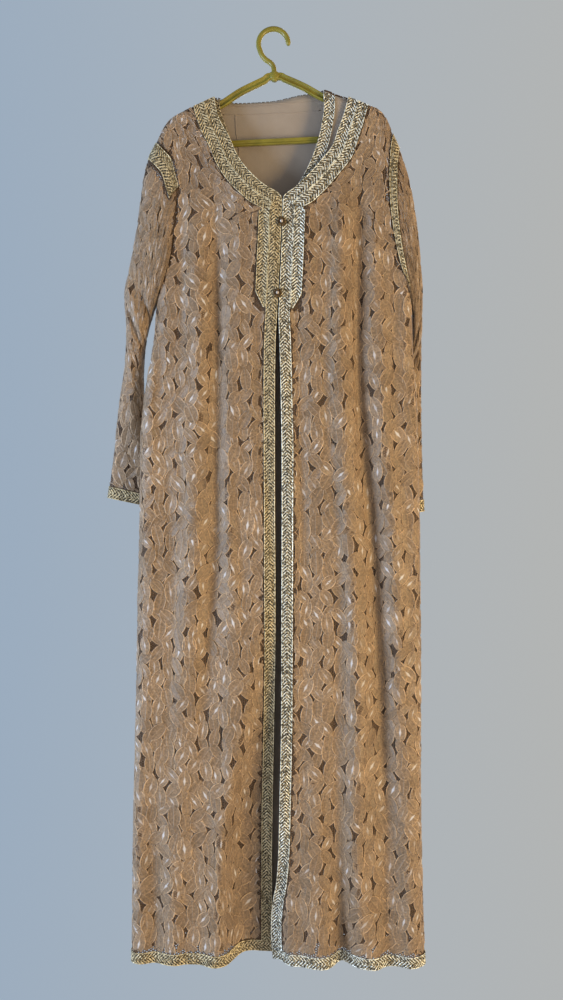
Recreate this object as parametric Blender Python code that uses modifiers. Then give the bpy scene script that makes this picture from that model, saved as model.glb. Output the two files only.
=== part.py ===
"""Floor-length lace kaftan with woven braid, hanging on a moulded plastic hanger.

Lengths in the tables are millimetres. "drop" is the distance below the hook's seat, x runs to the
viewer's right and y runs away from the viewer. Left and right in names are the wearer's, so the
garment's right front lies at negative x.
"""

import math
from collections import namedtuple

import bmesh
import bpy
from mathutils import Vector

MM = 0.001

CLOTH_WALL = 1.2
LINING_WALL = 1.0
BRAID_WALL = 1.0
BRAID_LIFT = 0.4
SEAM_GAP = 0.3
OUTLINE_GAP = 0.7
LINING_GAP = 1.2
BRAID_WIDTH = 19.5
HEM_BRAID = 19.0
CUFF_BRAID = 21.0
SHOULDER_BRAID_ROWS = (0.06, 1.0, 1.25)
SHOULDER_REACH = {"right": (4, 4), "left": (4, 8)}
PLACKET_END = 486.0
PLACKET_CHAMFER = 26.0
PLACKET_CUT = 0.8
BRAID_PARTING = 0.012
CHAMFER_LIFT = 0.9

NECK_ROUND = 5.0
NECK_SPREAD = 0.25
SIDE_ROUND_FRONT = 16.0
SIDE_ROUND_BACK = 18.0
HEM_ROUND_BACK = 60.0
LINING_INSET = 4.5
SHOULDER_INSET = 0.75
LINING_DEPTH = 4.8
LINING_DROP = 1545.0
LINING_REACH = 21.0

SHOULDER_FADE = 110.0
YOKE_FADE = 275.0
SIDE_ROWS = 18
SLEEVE_ROWS = 14
EDGE_COLUMNS = (0.0, 1.5, 5.0, 12.0)

Side = namedtuple("Side", "drop left right")
SIDES = (
    Side(175, -207, 205),
    Side(300, -207, 220),
    Side(466, -207, 238),
    Side(541, -212, 240),
    Side(593, -221, 243.5),
    Side(646, -229, 248),
    Side(716, -235, 250),
    Side(821, -236, 252),
    Side(996, -240, 254),
    Side(1171, -243, 255),
    Side(1346, -247, 255),
    Side(1486, -249, 258),
    Side(1625, -250, 262),
)

Shoulder = namedtuple("Shoulder", "x drop")
SHOULDERS = (
    Shoulder(-207, 191),
    Shoulder(-198, 172),
    Shoulder(-184, 152),
    Shoulder(-168, 142),
    Shoulder(-130, 124),
    Shoulder(-96, 112),
    Shoulder(-66, 115),
    Shoulder(-7, 112),
    Shoulder(53, 100),
    Shoulder(84, 98),
    Shoulder(108, 107),
    Shoulder(128, 113),
    Shoulder(164, 127),
    Shoulder(180, 134),
    Shoulder(192, 147),
    Shoulder(205, 175),
)
NECK_LEFT_X = 84.0
NECK_RIGHT_X = -96.0

Armhole = namedtuple("Armhole", "right_x right_drop left_x left_drop")
ARMHOLES = (
    Armhole(-207, 191, 205, 175),
    Armhole(-193, 207, 202, 190),
    Armhole(-179, 224, 200, 207),
    Armhole(-172, 251, 198.5, 236),
    Armhole(-167, 272, 198, 260),
    Armhole(-170, 300, 199, 290),
    Armhole(-174, 343, 204, 336),
    Armhole(-179, 387, 212, 380),
    Armhole(-188, 421, 222, 422),
    Armhole(-201, 451, 233, 452),
    Armhole(-207, 466, 238, 462),
)
TIP_STEPS = (0.0, 0.08, 0.22, 0.5)
HEM_RIGHT = 1620.0
HEM_LEFT = 1625.0
UNDERARM_INNER = 440.0

Edge = namedtuple("Edge", "drop x")
RIGHT_EDGE = (
    Edge(113, -105), Edge(130, -103), Edge(158, -95), Edge(185, -80), Edge(221, -64),
    Edge(249, -44), Edge(272, -20), Edge(296, 12), Edge(331, 11), Edge(425, 7),
    Edge(477, 4.5), Edge(500, 3.4), Edge(545, 1), Edge(648, 0), Edge(1063, 1),
    Edge(1258, -2), Edge(1439, -5), Edge(1620, -5),
)
LEFT_EDGE = (
    Edge(113, 128), Edge(130, 124), Edge(151, 118), Edge(175, 109), Edge(202, 100),
    Edge(226, 82), Edge(252, 61), Edge(276, 37), Edge(296, 14), Edge(331, 13),
    Edge(425, 9.2), Edge(477, 6.9), Edge(500, 6.2), Edge(545, 8), Edge(648, 10.5), Edge(734, 12),
    Edge(1166, 11), Edge(1339, 8), Edge(1427, 6), Edge(1482, 2), Edge(1521, -4),
    Edge(1568, -7), Edge(1625, -4),
)
RIGHT_LINING_EDGE = (
    Edge(113, -96), Edge(131, -96), Edge(155, -90), Edge(186, -78), Edge(221, -67),
    Edge(249, -49), Edge(272, -26), Edge(296, 0), Edge(331, -4), Edge(545, -12),
    Edge(1063, -14), Edge(1560, -18),
)
LEFT_LINING_EDGE = (
    Edge(98, 84), Edge(132, 85), Edge(169, 80), Edge(204, 71), Edge(238, 58),
    Edge(272, 40), Edge(296, 26), Edge(331, 26), Edge(545, 28), Edge(1063, 30),
    Edge(1560, 34),
)

Depth = namedtuple("Depth", "drop centre flank back")
DEPTHS = (
    Depth(95, 11, 11, 14),
    Depth(150, 13, 11, 15),
    Depth(200, 16, 11, 17),
    Depth(300, 23, 12, 18),
    Depth(480, 24, 14, 18),
    Depth(600, 20, 16, 17),
    Depth(900, 20, 17, 18),
    Depth(1200, 18, 16, 27),
    Depth(1625, 15, 14, 47),
)
CENTRE_X = 12.0
CENTRE_HALF = 40.0
FLANK_HALF = 150.0

Fold = namedtuple("Fold", "drop x height width")
FRONT_FOLDS = {
    "right_outer_crest": (
        Fold(260, -140, 0, 16), Fold(355, -138, 8, 18), Fold(528, -136, 11, 20),
        Fold(872, -136, 11, 20), Fold(1045, -145, 8, 22), Fold(1250, -150, 3, 26),
        Fold(1390, -160, 5, 24), Fold(1520, -170, 6, 22), Fold(1625, -172, 5, 22),
    ),
    "right_middle_valley": (
        Fold(300, -104, 0, 12), Fold(400, -101, -6, 13), Fold(528, -100, -9, 14),
        Fold(872, -100, -9, 14), Fold(1045, -110, -6, 16), Fold(1250, -120, 0, 18),
    ),
    "right_inner_crest": (
        Fold(400, -80, 0, 12), Fold(528, -80, 5, 13), Fold(872, -80, 6, 14),
        Fold(1045, -66, 6, 18), Fold(1215, -70, 8, 18), Fold(1390, -88, 10, 18),
        Fold(1520, -94, 12, 18), Fold(1625, -102, 14, 18),
    ),
    "right_side_valley": (
        Fold(1200, -222, 0, 10), Fold(1390, -214, -5, 12), Fold(1520, -205, -7, 13),
        Fold(1625, -205, -4, 13),
    ),
    "left_middle_crest": (
        Fold(250, 112, 0, 14), Fold(355, 113, 7, 15), Fold(528, 110, 9, 16),
        Fold(700, 117, 10, 17), Fold(872, 128, 11, 18), Fold(1215, 143, 12, 18),
        Fold(1390, 143, 12, 18), Fold(1520, 148, 12, 20), Fold(1625, 165, 12, 24),
    ),
    "left_deep_valley": (
        Fold(260, 146, 0, 9), Fold(355, 145, -6, 10), Fold(528, 143, -10, 11),
        Fold(700, 152, -12, 13), Fold(872, 169, -12, 14), Fold(1215, 188, -12, 15),
        Fold(1390, 192, -10, 15), Fold(1520, 192, -7, 15), Fold(1625, 195, -3, 15),
    ),
    "left_outer_crest": (
        Fold(300, 171, 0, 10), Fold(528, 180, 5, 13), Fold(700, 185, 6, 16),
        Fold(872, 202, 7, 16), Fold(1215, 222, 7, 15), Fold(1625, 236, 5, 15),
    ),
    "left_strip_valley": (
        Fold(420, 44, 0, 11), Fold(528, 44, -4, 12), Fold(872, 46, -4, 12),
        Fold(1045, 46, 0, 12),
    ),
    "left_hem_crest": (
        Fold(1250, 70, 0, 18), Fold(1440, 74, 6, 20), Fold(1625, 80, 12, 20),
    ),
    "left_hem_valley": (
        Fold(1250, 112, 0, 13), Fold(1440, 114, -8, 14), Fold(1625, 117, -23, 14),
    ),
}
BACK_FOLDS = {
    "right_back_crest": (
        Fold(420, -120, 0, 20), Fold(800, -118, 4, 24), Fold(1625, -130, 8, 26),
    ),
    "middle_back_valley": (
        Fold(500, -30, 0, 22), Fold(900, -34, -4, 24), Fold(1200, -40, -4, 24),
        Fold(1450, -46, 0, 24),
    ),
    "left_back_crest": (
        Fold(900, 70, 0, 22), Fold(1200, 76, 5, 24), Fold(1625, 84, 9, 26),
    ),
}

Recess = namedtuple("Recess", "drop x depth width")
RIGHT_RECESS = (
    Recess(1000, -10, 0, 8), Recess(1045, -22, 4, 10), Recess(1215, -44, 16, 14),
    Recess(1390, -74, 30, 18), Recess(1520, -80, 38, 20), Recess(1625, -70, 43, 18),
)
LEFT_RECESS = (
    Recess(1300, 22, 0, 12), Recess(1427, 22, 5, 12), Recess(1482, 18, 11, 12),
    Recess(1521, 14, 18, 12), Recess(1568, 12, 23, 12), Recess(1625, 16, 28, 14),
)

SleeveRow = namedtuple("SleeveRow", "t out_x out_drop out_y in_x in_drop in_y front back pull")
RIGHT_SLEEVE = (
    SleeveRow(0.00, -207, 191, 0, -207, 466, 0, 11, 11, 1.00),
    SleeveRow(0.05, -222, 222, 1, -208, 472, 0, 16, 13, 0.86),
    SleeveRow(0.12, -232, 268, 2, -211, 480, 2, 19, 14, 0.68),
    SleeveRow(0.22, -240, 330, 3, -215, 492, 4, 20, 15, 0.42),
    SleeveRow(0.34, -252, 398, 4, -221, 512, 7, 19, 16, 0.20),
    SleeveRow(0.46, -264, 462, 6, -228, 542, 11, 17, 17, 0.07),
    SleeveRow(0.55, -261, 512, 9, -232, 575, 15, 15, 17, 0.00),
    SleeveRow(0.64, -264, 566, 13, -234, 614, 21, 14, 16, 0.00),
    SleeveRow(0.78, -277, 650, 20, -226, 690, 30, 12, 14, 0.00),
    SleeveRow(0.90, -287, 735, 25, -206, 765, 34, 11, 12, 0.00),
    SleeveRow(1.00, -298, 813, 26, -188, 836, 36, 12, 12, 0.00),
)
LEFT_SLEEVE = (
    SleeveRow(0.00, 205, 175, 0, 238, 462, 0, 11, 11, 1.00),
    SleeveRow(0.05, 217, 202, 0, 239, 466, 0, 12, 12, 0.86),
    SleeveRow(0.12, 233, 252, 1, 240.5, 474, 1, 13, 13, 0.64),
    SleeveRow(0.22, 245, 314, 2, 242, 486, 3, 13, 13, 0.38),
    SleeveRow(0.34, 254, 388, 5, 244, 504, 8, 12, 12, 0.16),
    SleeveRow(0.46, 259, 448, 10, 244, 535, 16, 11, 11, 0.05),
    SleeveRow(0.55, 259.5, 502, 17, 240, 572, 26, 10, 10, 0.00),
    SleeveRow(0.64, 260, 560, 24, 222, 618, 33, 9, 10, 0.00),
    SleeveRow(0.78, 261, 650, 29, 184, 695, 33, 9, 10, 0.00),
    SleeveRow(0.90, 263, 745, 31, 140, 780, 33, 9, 10, 0.00),
    SleeveRow(1.00, 266, 837, 31, 118, 856, 33, 10, 10, 0.00),
)
SLEEVE_ROUND = 2.2

HookPoint = namedtuple("HookPoint", "x drop")
HOOK_CENTRE = HookPoint(-2.7, 18.5)
HOOK_RADIUS = 26.0
HOOK_ROD = 4.5
HOOK_TIP_ANGLE = -6.0
HOOK_END_ANGLE = 202.0
HOOK_NECK = (
    HookPoint(-24, 36), HookPoint(-17, 45.5), HookPoint(-7, 52.5), HookPoint(-2, 61),
    HookPoint(-1, 74), HookPoint(-1, 84),
)

HANGER_THICK = 8.0
HANGER_BEVEL = 1.8
ARM_HEIGHT = 11.0
BAR_HEIGHT = 9.5
ARM_TOP = (
    HookPoint(-186, 169), HookPoint(-168, 153.5), HookPoint(-130, 134.5), HookPoint(-96, 120),
    HookPoint(-60, 97), HookPoint(-17, 75.5), HookPoint(-12, 71), HookPoint(10, 70),
    HookPoint(16, 73), HookPoint(50, 88), HookPoint(84, 106.5), HookPoint(128, 123.5),
    HookPoint(164, 138), HookPoint(182, 148),
)
LOOP_RIGHT = HookPoint(-171, 182)
LOOP_LEFT = HookPoint(172, 166)
LOOP_RADIUS = 21.0
LOOP_STEPS = 9

Button = namedtuple("Button", "name x drop")
BUTTONS = (Button("button_top", 11.5, 338.5), Button("button_bottom", 4.5, 461.5))
BUTTON_RADIUS = 7.5
BUTTON_HEIGHT = 6.0
PEARL_RADIUS = 3.0
PETALS = 8

Finish = namedtuple("Finish", "colour roughness metallic")
FINISHES = {
    "lace": Finish((0.36, 0.26, 0.19), 0.55, 0.0),
    "lining": Finish((0.42, 0.36, 0.30), 0.75, 0.0),
    "braid": Finish((0.62, 0.52, 0.32), 0.45, 0.2),
    "plastic": Finish((0.32, 0.27, 0.10), 0.35, 0.0),
    "bronze": Finish((0.18, 0.13, 0.08), 0.35, 0.8),
}


def blend(start, end, share):
    """Value a share of the way from start to end."""
    return start + (end - start) * share


def ease(value):
    """Smooth step from 0 to 1 as value goes from 0 to 1."""
    clamped = min(1.0, max(0.0, value))
    return clamped * clamped * (3.0 - 2.0 * clamped)


def dome(value):
    """Quarter circle that rises from 0 at 0 to 1 at 1."""
    clamped = min(1.0, max(0.0, value))
    return math.sqrt(1.0 - (1.0 - clamped) ** 2)


def table_at(table, key, place, column):
    """Read a column of a table at a place along its key, smoothly and without overshoot."""
    keys = [getattr(row, key) for row in table]
    values = [getattr(row, column) for row in table]
    if place <= keys[0]:
        return values[0]
    if place >= keys[-1]:
        return values[-1]
    index = max(i for i, value in enumerate(keys) if value <= place)
    slopes = [(values[i + 1] - values[i]) / (keys[i + 1] - keys[i]) for i in range(len(keys) - 1)]

    def tangent(i):
        if i == 0 or i == len(keys) - 1:
            return slopes[min(i, len(slopes) - 1)]
        before, after = slopes[i - 1], slopes[i]
        if before * after <= 0.0:
            return 0.0
        return 2.0 * before * after / (before + after)

    span = keys[index + 1] - keys[index]
    t = (place - keys[index]) / span
    h00 = (1.0 + 2.0 * t) * (1.0 - t) ** 2
    h10 = t * (1.0 - t) ** 2
    h01 = t * t * (3.0 - 2.0 * t)
    h11 = t * t * (t - 1.0)
    return (h00 * values[index] + h10 * span * tangent(index)
            + h01 * values[index + 1] + h11 * span * tangent(index + 1))


def shoulder_drop(x):
    """Height of the shoulder line, and of the back neck between the shoulders."""
    return table_at(SHOULDERS, "x", x, "drop")


def shoulder_inset(x, inset):
    """Vertical distance of the lining below the shoulder line, longer where the line is steep."""
    slope = (shoulder_drop(x + 4.0) - shoulder_drop(x - 4.0)) / 8.0
    return SHOULDER_INSET * inset * math.sqrt(1.0 + slope * slope)


def neck_clearance(x):
    """How far x lies inside the neck opening, 0 over the shoulders."""
    return max(0.0, min(x - NECK_RIGHT_X, NECK_LEFT_X - x))


def rounding(x, drop, inset, side_round):
    """Share of the full depth at a point: 0 on the outline, 1 well inside it."""
    left = table_at(SIDES, "drop", drop, "left") + inset
    right = table_at(SIDES, "drop", drop, "right") - inset
    sideways = dome(min(x - left, right - x) / side_round)
    top = drop - shoulder_drop(x) - shoulder_inset(x, inset)
    upward = dome((0.85 * top + NECK_SPREAD * neck_clearance(x)) / NECK_ROUND)
    return sideways * upward


def fold_height(folds, x, drop):
    """Sum of the folds at a point, towards the viewer on the front."""
    total = 0.0
    for rows in folds.values():
        if rows[0].drop <= drop:
            centre = table_at(rows, "drop", drop, "x")
            width = table_at(rows, "drop", drop, "width")
            height = table_at(rows, "drop", drop, "height")
            total += height * math.exp(-((x - centre) / width) ** 2)
    return total


def recess_depth(x, drop):
    """How far the front edges turn in beside the open slit."""
    right_x = table_at(RIGHT_RECESS, "drop", drop, "x")
    left_x = table_at(LEFT_RECESS, "drop", drop, "x")
    right_width = table_at(RIGHT_RECESS, "drop", drop, "width")
    left_width = table_at(LEFT_RECESS, "drop", drop, "width")
    right = ease(0.5 + (x - right_x) / (2.0 * right_width))
    left = ease(0.5 + (left_x - x) / (2.0 * left_width))
    return (table_at(RIGHT_RECESS, "drop", drop, "depth") * right,
            table_at(LEFT_RECESS, "drop", drop, "depth") * left)


def front_forward(x, drop, reach, left_side):
    """Distance of the front from the middle plane before the outline rounds it."""
    spread = ease((abs(x - CENTRE_X) - CENTRE_HALF) / (FLANK_HALF - CENTRE_HALF))
    centre = table_at(DEPTHS, "drop", drop, "centre")
    flank = table_at(DEPTHS, "drop", drop, "flank")
    places = (x,) if reach == 0.0 else (x - reach, x, x + reach)
    folds = min(fold_height(FRONT_FOLDS, place, drop) for place in places)
    turned = max(recess_depth(place, drop)[1 if left_side else 0] for place in places)
    return blend(centre, flank, spread) + folds - turned


def front_y(x, drop, left_side, lining=False):
    """Outer face of the front, or of its lining."""
    inset = LINING_INSET if lining else 0.0
    behind = LINING_DEPTH if lining else 0.0
    reach = LINING_REACH if lining else 0.0
    forward = front_forward(x, drop, reach, left_side) - behind
    return -(LINING_GAP if lining else OUTLINE_GAP) / 2 - forward * rounding(x, drop, inset, SIDE_ROUND_FRONT)


def back_y(x, drop, lining=False):
    """Outer face of the back, or of its lining."""
    inset = LINING_INSET if lining else 0.0
    behind = LINING_DEPTH if lining else 0.0
    depth = table_at(DEPTHS, "drop", drop, "back") + fold_height(BACK_FOLDS, x, drop) - behind
    share = ease((drop - 900.0) / 700.0)
    side_round = blend(SIDE_ROUND_BACK, HEM_ROUND_BACK, share)
    return (LINING_GAP if lining else OUTLINE_GAP) / 2 + depth * rounding(x, drop, inset, side_round)


def outer_rows(left_side):
    """Outer edge of a panel, row by row: the armhole, then the side seam to the hem."""
    if left_side:
        armhole = [(row.left_x, row.left_drop) for row in ARMHOLES]
        hem = HEM_LEFT
    else:
        armhole = [(row.right_x, row.right_drop) for row in ARMHOLES]
        hem = HEM_RIGHT
    tip, second = armhole[0], armhole[1]
    rows = [(blend(tip[0], second[0], s), blend(tip[1], second[1], s)) for s in TIP_STEPS]
    rows += armhole[1:]
    underarm = armhole[-1][1]
    column = "right" if left_side else "left"
    for step in range(1, SIDE_ROWS + 1):
        drop = blend(underarm, hem - HEM_BRAID, step / SIDE_ROWS)
        rows.append((table_at(SIDES, "drop", drop, column), drop))
    rows.append((table_at(SIDES, "drop", hem, column), hem))
    return rows


def inner_drops(outer, top, hem):
    """Heights of the front edge that go with the rows of the outer edge."""
    tip, underarm = outer[0][1], outer[len(TIP_STEPS) + len(ARMHOLES) - 2][1]
    drops = []
    for _, drop in outer:
        if drop <= underarm:
            drops.append(blend(top, UNDERARM_INNER, (drop - tip) / (underarm - tip)))
        else:
            share = (drop - underarm) / (outer[-1][1] - underarm)
            drops.append(blend(UNDERARM_INNER, hem, share))
    return drops


def edge_direction(edge, drop, left_side, outward):
    """Unit vector square to a front edge, into its panel, in (x, drop)."""
    span = 25.0
    above = table_at(edge, "drop", drop - span, "x")
    below = table_at(edge, "drop", drop + span, "x")
    square = Vector((-2.0 * span, below - above)) if not left_side else Vector((2.0 * span, above - below))
    square.normalize()
    share = ease((drop - edge[0].drop) / 70.0)
    mixed = outward.normalized().lerp(square, share).normalized()
    return mixed / max(0.5, mixed.dot(square))


def front_grid(left_side, edge, lining=False, columns=10, row_step=1):
    """Points of a front panel's outer face, row by row, from the side to the front edge."""
    outer = outer_rows(left_side)
    sign = 1.0 if left_side else -1.0
    drops = inner_drops(outer, edge[0].drop, outer[-1][1])
    offsets = (0.0, BRAID_WIDTH, 2.0 * BRAID_WIDTH)
    if lining:
        offsets = (0.0, BRAID_WIDTH)
    rows = []
    lifts = []
    for (outer_x, outer_drop), drop in zip(outer, drops):
        if lining:
            outer_x -= sign * LINING_INSET
            outer_drop += SHOULDER_INSET * LINING_INSET
            drop += SHOULDER_INSET * LINING_INSET
        inner = Vector((table_at(edge, "drop", drop, "x"), drop))
        seam = Vector((outer_x, outer_drop))
        direction = edge_direction(edge, drop, left_side, seam - inner)
        points = [inner + direction * offset for offset in offsets]
        start = points[-1]
        length = (seam - start).length
        near = [distance / length for distance in EDGE_COLUMNS]
        inside = [blend(0.0, 1.0 - near[-1], step / columns) for step in range(1, columns + 1)]
        points += [start.lerp(seam, share) for share in inside]
        points += [seam.lerp(start, share) for share in reversed(near[:-1])]
        fade = max(0.0, 1.0 - (drop - drops[0]) / SHOULDER_FADE) ** 2
        if not lifts:
            inset = LINING_INSET if lining else 0.0
            lifts = [shoulder_drop(point.x) + shoulder_inset(point.x, inset) - point.y
                     for point in points]
            lifts[-1] = 0.0
        shaped = []
        for point, lift in zip(points, lifts):
            place = Vector((point.x, point.y + lift * fade))
            shaped.append(Vector((place.x, front_y(place.x, place.y, left_side, lining), -place.y)))
        rows.append(shaped[::-1])
    return rows


def back_grid(lining=False, columns=10):
    """Points of the back's outer face, row by row, from negative to positive x."""
    right_rows = outer_rows(False)
    left_rows = outer_rows(True)
    rows = []
    lifts = []
    inset = LINING_INSET if lining else 0.0
    for (right_x, right_drop), (left_x, left_drop) in zip(right_rows, left_rows):
        start = Vector((right_x + inset, right_drop + SHOULDER_INSET * inset))
        end = Vector((left_x - inset, left_drop + SHOULDER_INSET * inset))
        length = (end - start).length
        near = [distance / length for distance in EDGE_COLUMNS]
        shares = list(near[:-1])
        shares += [blend(near[-1], 1.0 - near[-1], step / columns) for step in range(columns + 1)]
        shares += [1.0 - share for share in reversed(near[:-1])]
        points = [start.lerp(end, share) for share in shares]
        if not lifts:
            lifts = [shoulder_drop(point.x) + shoulder_inset(point.x, inset) - point.y
                     for point in points]
            lifts[0] = lifts[-1] = 0.0
        fade = max(0.0, 1.0 - (right_drop - right_rows[0][1]) / YOKE_FADE) ** 2
        row = []
        for point, lift in zip(points, lifts):
            drop = point.y + lift * fade
            row.append(Vector((point.x, back_y(point.x, drop, lining), -drop)))
        rows.append(row)
    return rows


def sleeve_ring(rows, share, stations, left_side):
    """Points of a sleeve's outer face around one section, from the shoulder line round the front."""
    read = {name: table_at(rows, "t", share, name) for name in SleeveRow._fields[1:]}
    first = rows[0]
    out_point = Vector((read["out_x"], read["out_drop"]))
    in_point = Vector((read["in_x"], read["in_drop"]))
    first_out = Vector((first.out_x, first.out_drop))
    first_in = Vector((first.in_x, first.in_drop))
    sign = 1.0 if left_side else -1.0
    last = len(stations) - 1
    ring = []
    for face in (-1.0, 1.0):
        depth = read["front"] if face < 0.0 else read["back"]
        first_depth = first.front
        half = []
        for seam_x, seam_drop in stations:
            place = (seam_drop - first.out_drop) / (first.in_drop - first.out_drop)
            bulge = (1.0 - abs(2.0 * place - 1.0) ** SLEEVE_ROUND) ** (1.0 / SLEEVE_ROUND)
            plane = out_point.lerp(in_point, place)
            middle = blend(read["out_y"], read["in_y"], place)
            seam_y = front_y(seam_x, seam_drop, left_side) if face < 0.0 else back_y(seam_x, seam_drop)
            straight = first_out.lerp(first_in, place)
            pulled_x = (seam_x + sign * SEAM_GAP * 1.3 - straight.x) * read["pull"]
            pulled_y = (seam_y - face * first_depth * bulge) * read["pull"]
            half.append(Vector((plane.x + pulled_x, middle + face * depth * bulge + pulled_y, -plane.y)))
        ring += half if face < 0.0 else half[last - 1:0:-1]
    return ring


def sleeve_grid(rows, left_side):
    """Points of a sleeve's outer face, ring by ring, from the armhole to the cuff."""
    if left_side:
        stations = [(row.left_x, row.left_drop) for row in ARMHOLES]
    else:
        stations = [(row.right_x, row.right_drop) for row in ARMHOLES]
    length = Vector((rows[-1].out_x - rows[-2].out_x, rows[-1].out_drop - rows[-2].out_drop)).length
    cuff = 1.0 - CUFF_BRAID / length * (rows[-1].t - rows[-2].t)
    shares = [cuff * (step / SLEEVE_ROWS) ** 1.25 for step in range(SLEEVE_ROWS + 1)]
    shares.append(1.0)
    return [sleeve_ring(rows, share, stations, left_side) for share in shares]


def grid_normals(grid, closed, flip):
    """Unit normals at the points of a grid."""
    height, width = len(grid), len(grid[0])
    normals = []
    for i in range(height):
        row = []
        for j in range(width):
            above, below = grid[max(0, i - 1)][j], grid[min(height - 1, i + 1)][j]
            if closed:
                before, after = grid[i][(j - 1) % width], grid[i][(j + 1) % width]
            else:
                before, after = grid[i][max(0, j - 1)], grid[i][min(width - 1, j + 1)]
            normal = (after - before).cross(below - above).normalized()
            row.append(-normal if flip else normal)
        normals.append(row)
    return normals


def read_grid(grid, row, column):
    """Point of a grid at a fractional row and column."""
    i, j = min(int(row), len(grid) - 2), min(int(column), len(grid[0]) - 2)
    upper = grid[i][j].lerp(grid[i][j + 1], column - j)
    lower = grid[i + 1][j].lerp(grid[i + 1][j + 1], column - j)
    return upper.lerp(lower, row - i)


def raised(grid, normals, rows, columns):
    """Part of a grid moved out from its panel, for a braid that lies on it."""
    lifted = [[p + n * BRAID_LIFT for p, n in zip(points, ns)] for points, ns in zip(grid, normals)]
    return [[read_grid(lifted, row, column) for column in columns] for row in rows]


def make_material(name):
    """One plain finish."""
    finish = FINISHES[name]
    material = bpy.data.materials.new(name)
    material.use_nodes = True
    shader = material.node_tree.nodes["Principled BSDF"]
    shader.inputs["Base Color"].default_value = (*finish.colour, 1.0)
    shader.inputs["Roughness"].default_value = finish.roughness
    shader.inputs["Metallic"].default_value = finish.metallic
    return material


def link_mesh(name, build, collection, material):
    """New object from a bmesh whose lengths are millimetres."""
    bmesh.ops.scale(build, verts=build.verts, vec=(MM, MM, MM))
    mesh = bpy.data.meshes.new(name)
    build.to_mesh(mesh)
    build.free()
    mesh.materials.append(material)
    made = bpy.data.objects.new(name, mesh)
    collection.objects.link(made)
    return made


def make_sheet(name, grid, wall, collection, material, closed=False, flip=False, outside=False):
    """Cloth wall on a grid of points: inside the points, or outside them for a braid."""
    build = bmesh.new()
    points = [[build.verts.new(point) for point in row] for row in grid]
    width = len(grid[0])
    for upper, lower in zip(points, points[1:]):
        for j in range(width if closed else width - 1):
            corners = [upper[j], upper[(j + 1) % width], lower[(j + 1) % width], lower[j]]
            build.faces.new(corners if flip else corners[::-1])
    sheet = link_mesh(name, build, collection, material)
    sheet.data.shade_smooth()
    solidify = sheet.modifiers.new("wall", "SOLIDIFY")
    solidify.thickness = wall * MM
    solidify.offset = 1.0 if outside else -1.0
    solidify.use_even_offset = False
    return sheet


def make_front(side, left_side, edge, lining_edge, collection, materials):
    """Front panel with its edge braids, hem braid and lining."""
    grid = front_grid(left_side, edge)
    flip = not left_side
    normals = grid_normals(grid, False, flip)
    make_sheet("front_" + side, grid, CLOTH_WALL, collection, materials["lace"], flip=not flip)
    last_row = len(grid) - 1
    last = len(grid[0]) - 1
    hem_row = last_row - 1
    rows = list(range(2, hem_row)) + [hem_row - 0.01]
    strip = raised(grid, normals, rows, (last - 1 + BRAID_PARTING, last))
    make_sheet("edge_braid_" + side, strip, BRAID_WALL, collection, materials["braid"],
               flip=not flip, outside=True)
    drops = [-row[-1].z for row in grid]
    end = next(i for i, drop in enumerate(drops) if drop > PLACKET_END)
    share = end - 1 + (PLACKET_END - drops[end - 1]) / (drops[end] - drops[end - 1])
    taper = PLACKET_CHAMFER / (drops[end] - drops[end - 1])
    band = []
    for row in sorted([*range(2, end), share - taper, share]):
        cut = PLACKET_CUT * max(0.0, 1.0 - (share - row) / taper)
        band += raised(grid, normals, (row,), (last - 2 + cut, last - 1 - BRAID_PARTING))
    band[-1][0] += normals[end][last - 2] * CHAMFER_LIFT
    band[-2][0] += normals[end][last - 2] * CHAMFER_LIFT / 2
    make_sheet("neck_band_" + side, band, BRAID_WALL, collection, materials["braid"],
               flip=not flip, outside=True)
    hem = raised(grid, normals, (hem_row, last_row), tuple(range(last + 1)))
    make_sheet("hem_braid_front_" + side, hem, BRAID_WALL, collection, materials["braid"],
               flip=not flip, outside=True)
    lining = [row for row in front_grid(left_side, lining_edge, True, 6) if -row[-1].z < LINING_DROP]
    lining = thin_rows(lining)
    make_sheet("lining_front_" + side, lining, LINING_WALL, collection, materials["lining"],
               flip=not flip)
    lining_normals = grid_normals(lining, False, flip)
    edge_end = next(i for i, row in enumerate(lining) if -row[-1].z > 290.0)
    last = len(lining[0]) - 1
    strip = raised(lining, lining_normals, range(2, edge_end), (last - 1, last))
    make_sheet("lining_braid_" + side, strip, BRAID_WALL, collection, materials["braid"],
               flip=not flip, outside=True)


def thin_rows(grid):
    """Every row over the shoulder and every second row of the long skirt."""
    keep = len(TIP_STEPS) + len(ARMHOLES) - 1
    return grid[:keep] + grid[keep + 1::2]


def make_back(collection, materials):
    """Back panel with its hem braid and lining."""
    grid = back_grid()
    make_sheet("back", grid, CLOTH_WALL, collection, materials["lace"], flip=True)
    normals = grid_normals(grid, False, False)
    last_row, last = len(grid) - 1, len(grid[0]) - 1
    hem = raised(grid, normals, (last_row - 1, last_row), tuple(range(last + 1)))
    make_sheet("hem_braid_back", hem, BRAID_WALL, collection, materials["braid"],
               flip=True, outside=True)
    lining = [row for row in back_grid(True) if -row[-1].z < LINING_DROP]
    make_sheet("lining_back", thin_rows(lining), LINING_WALL, collection, materials["lining"], flip=True)


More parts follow.
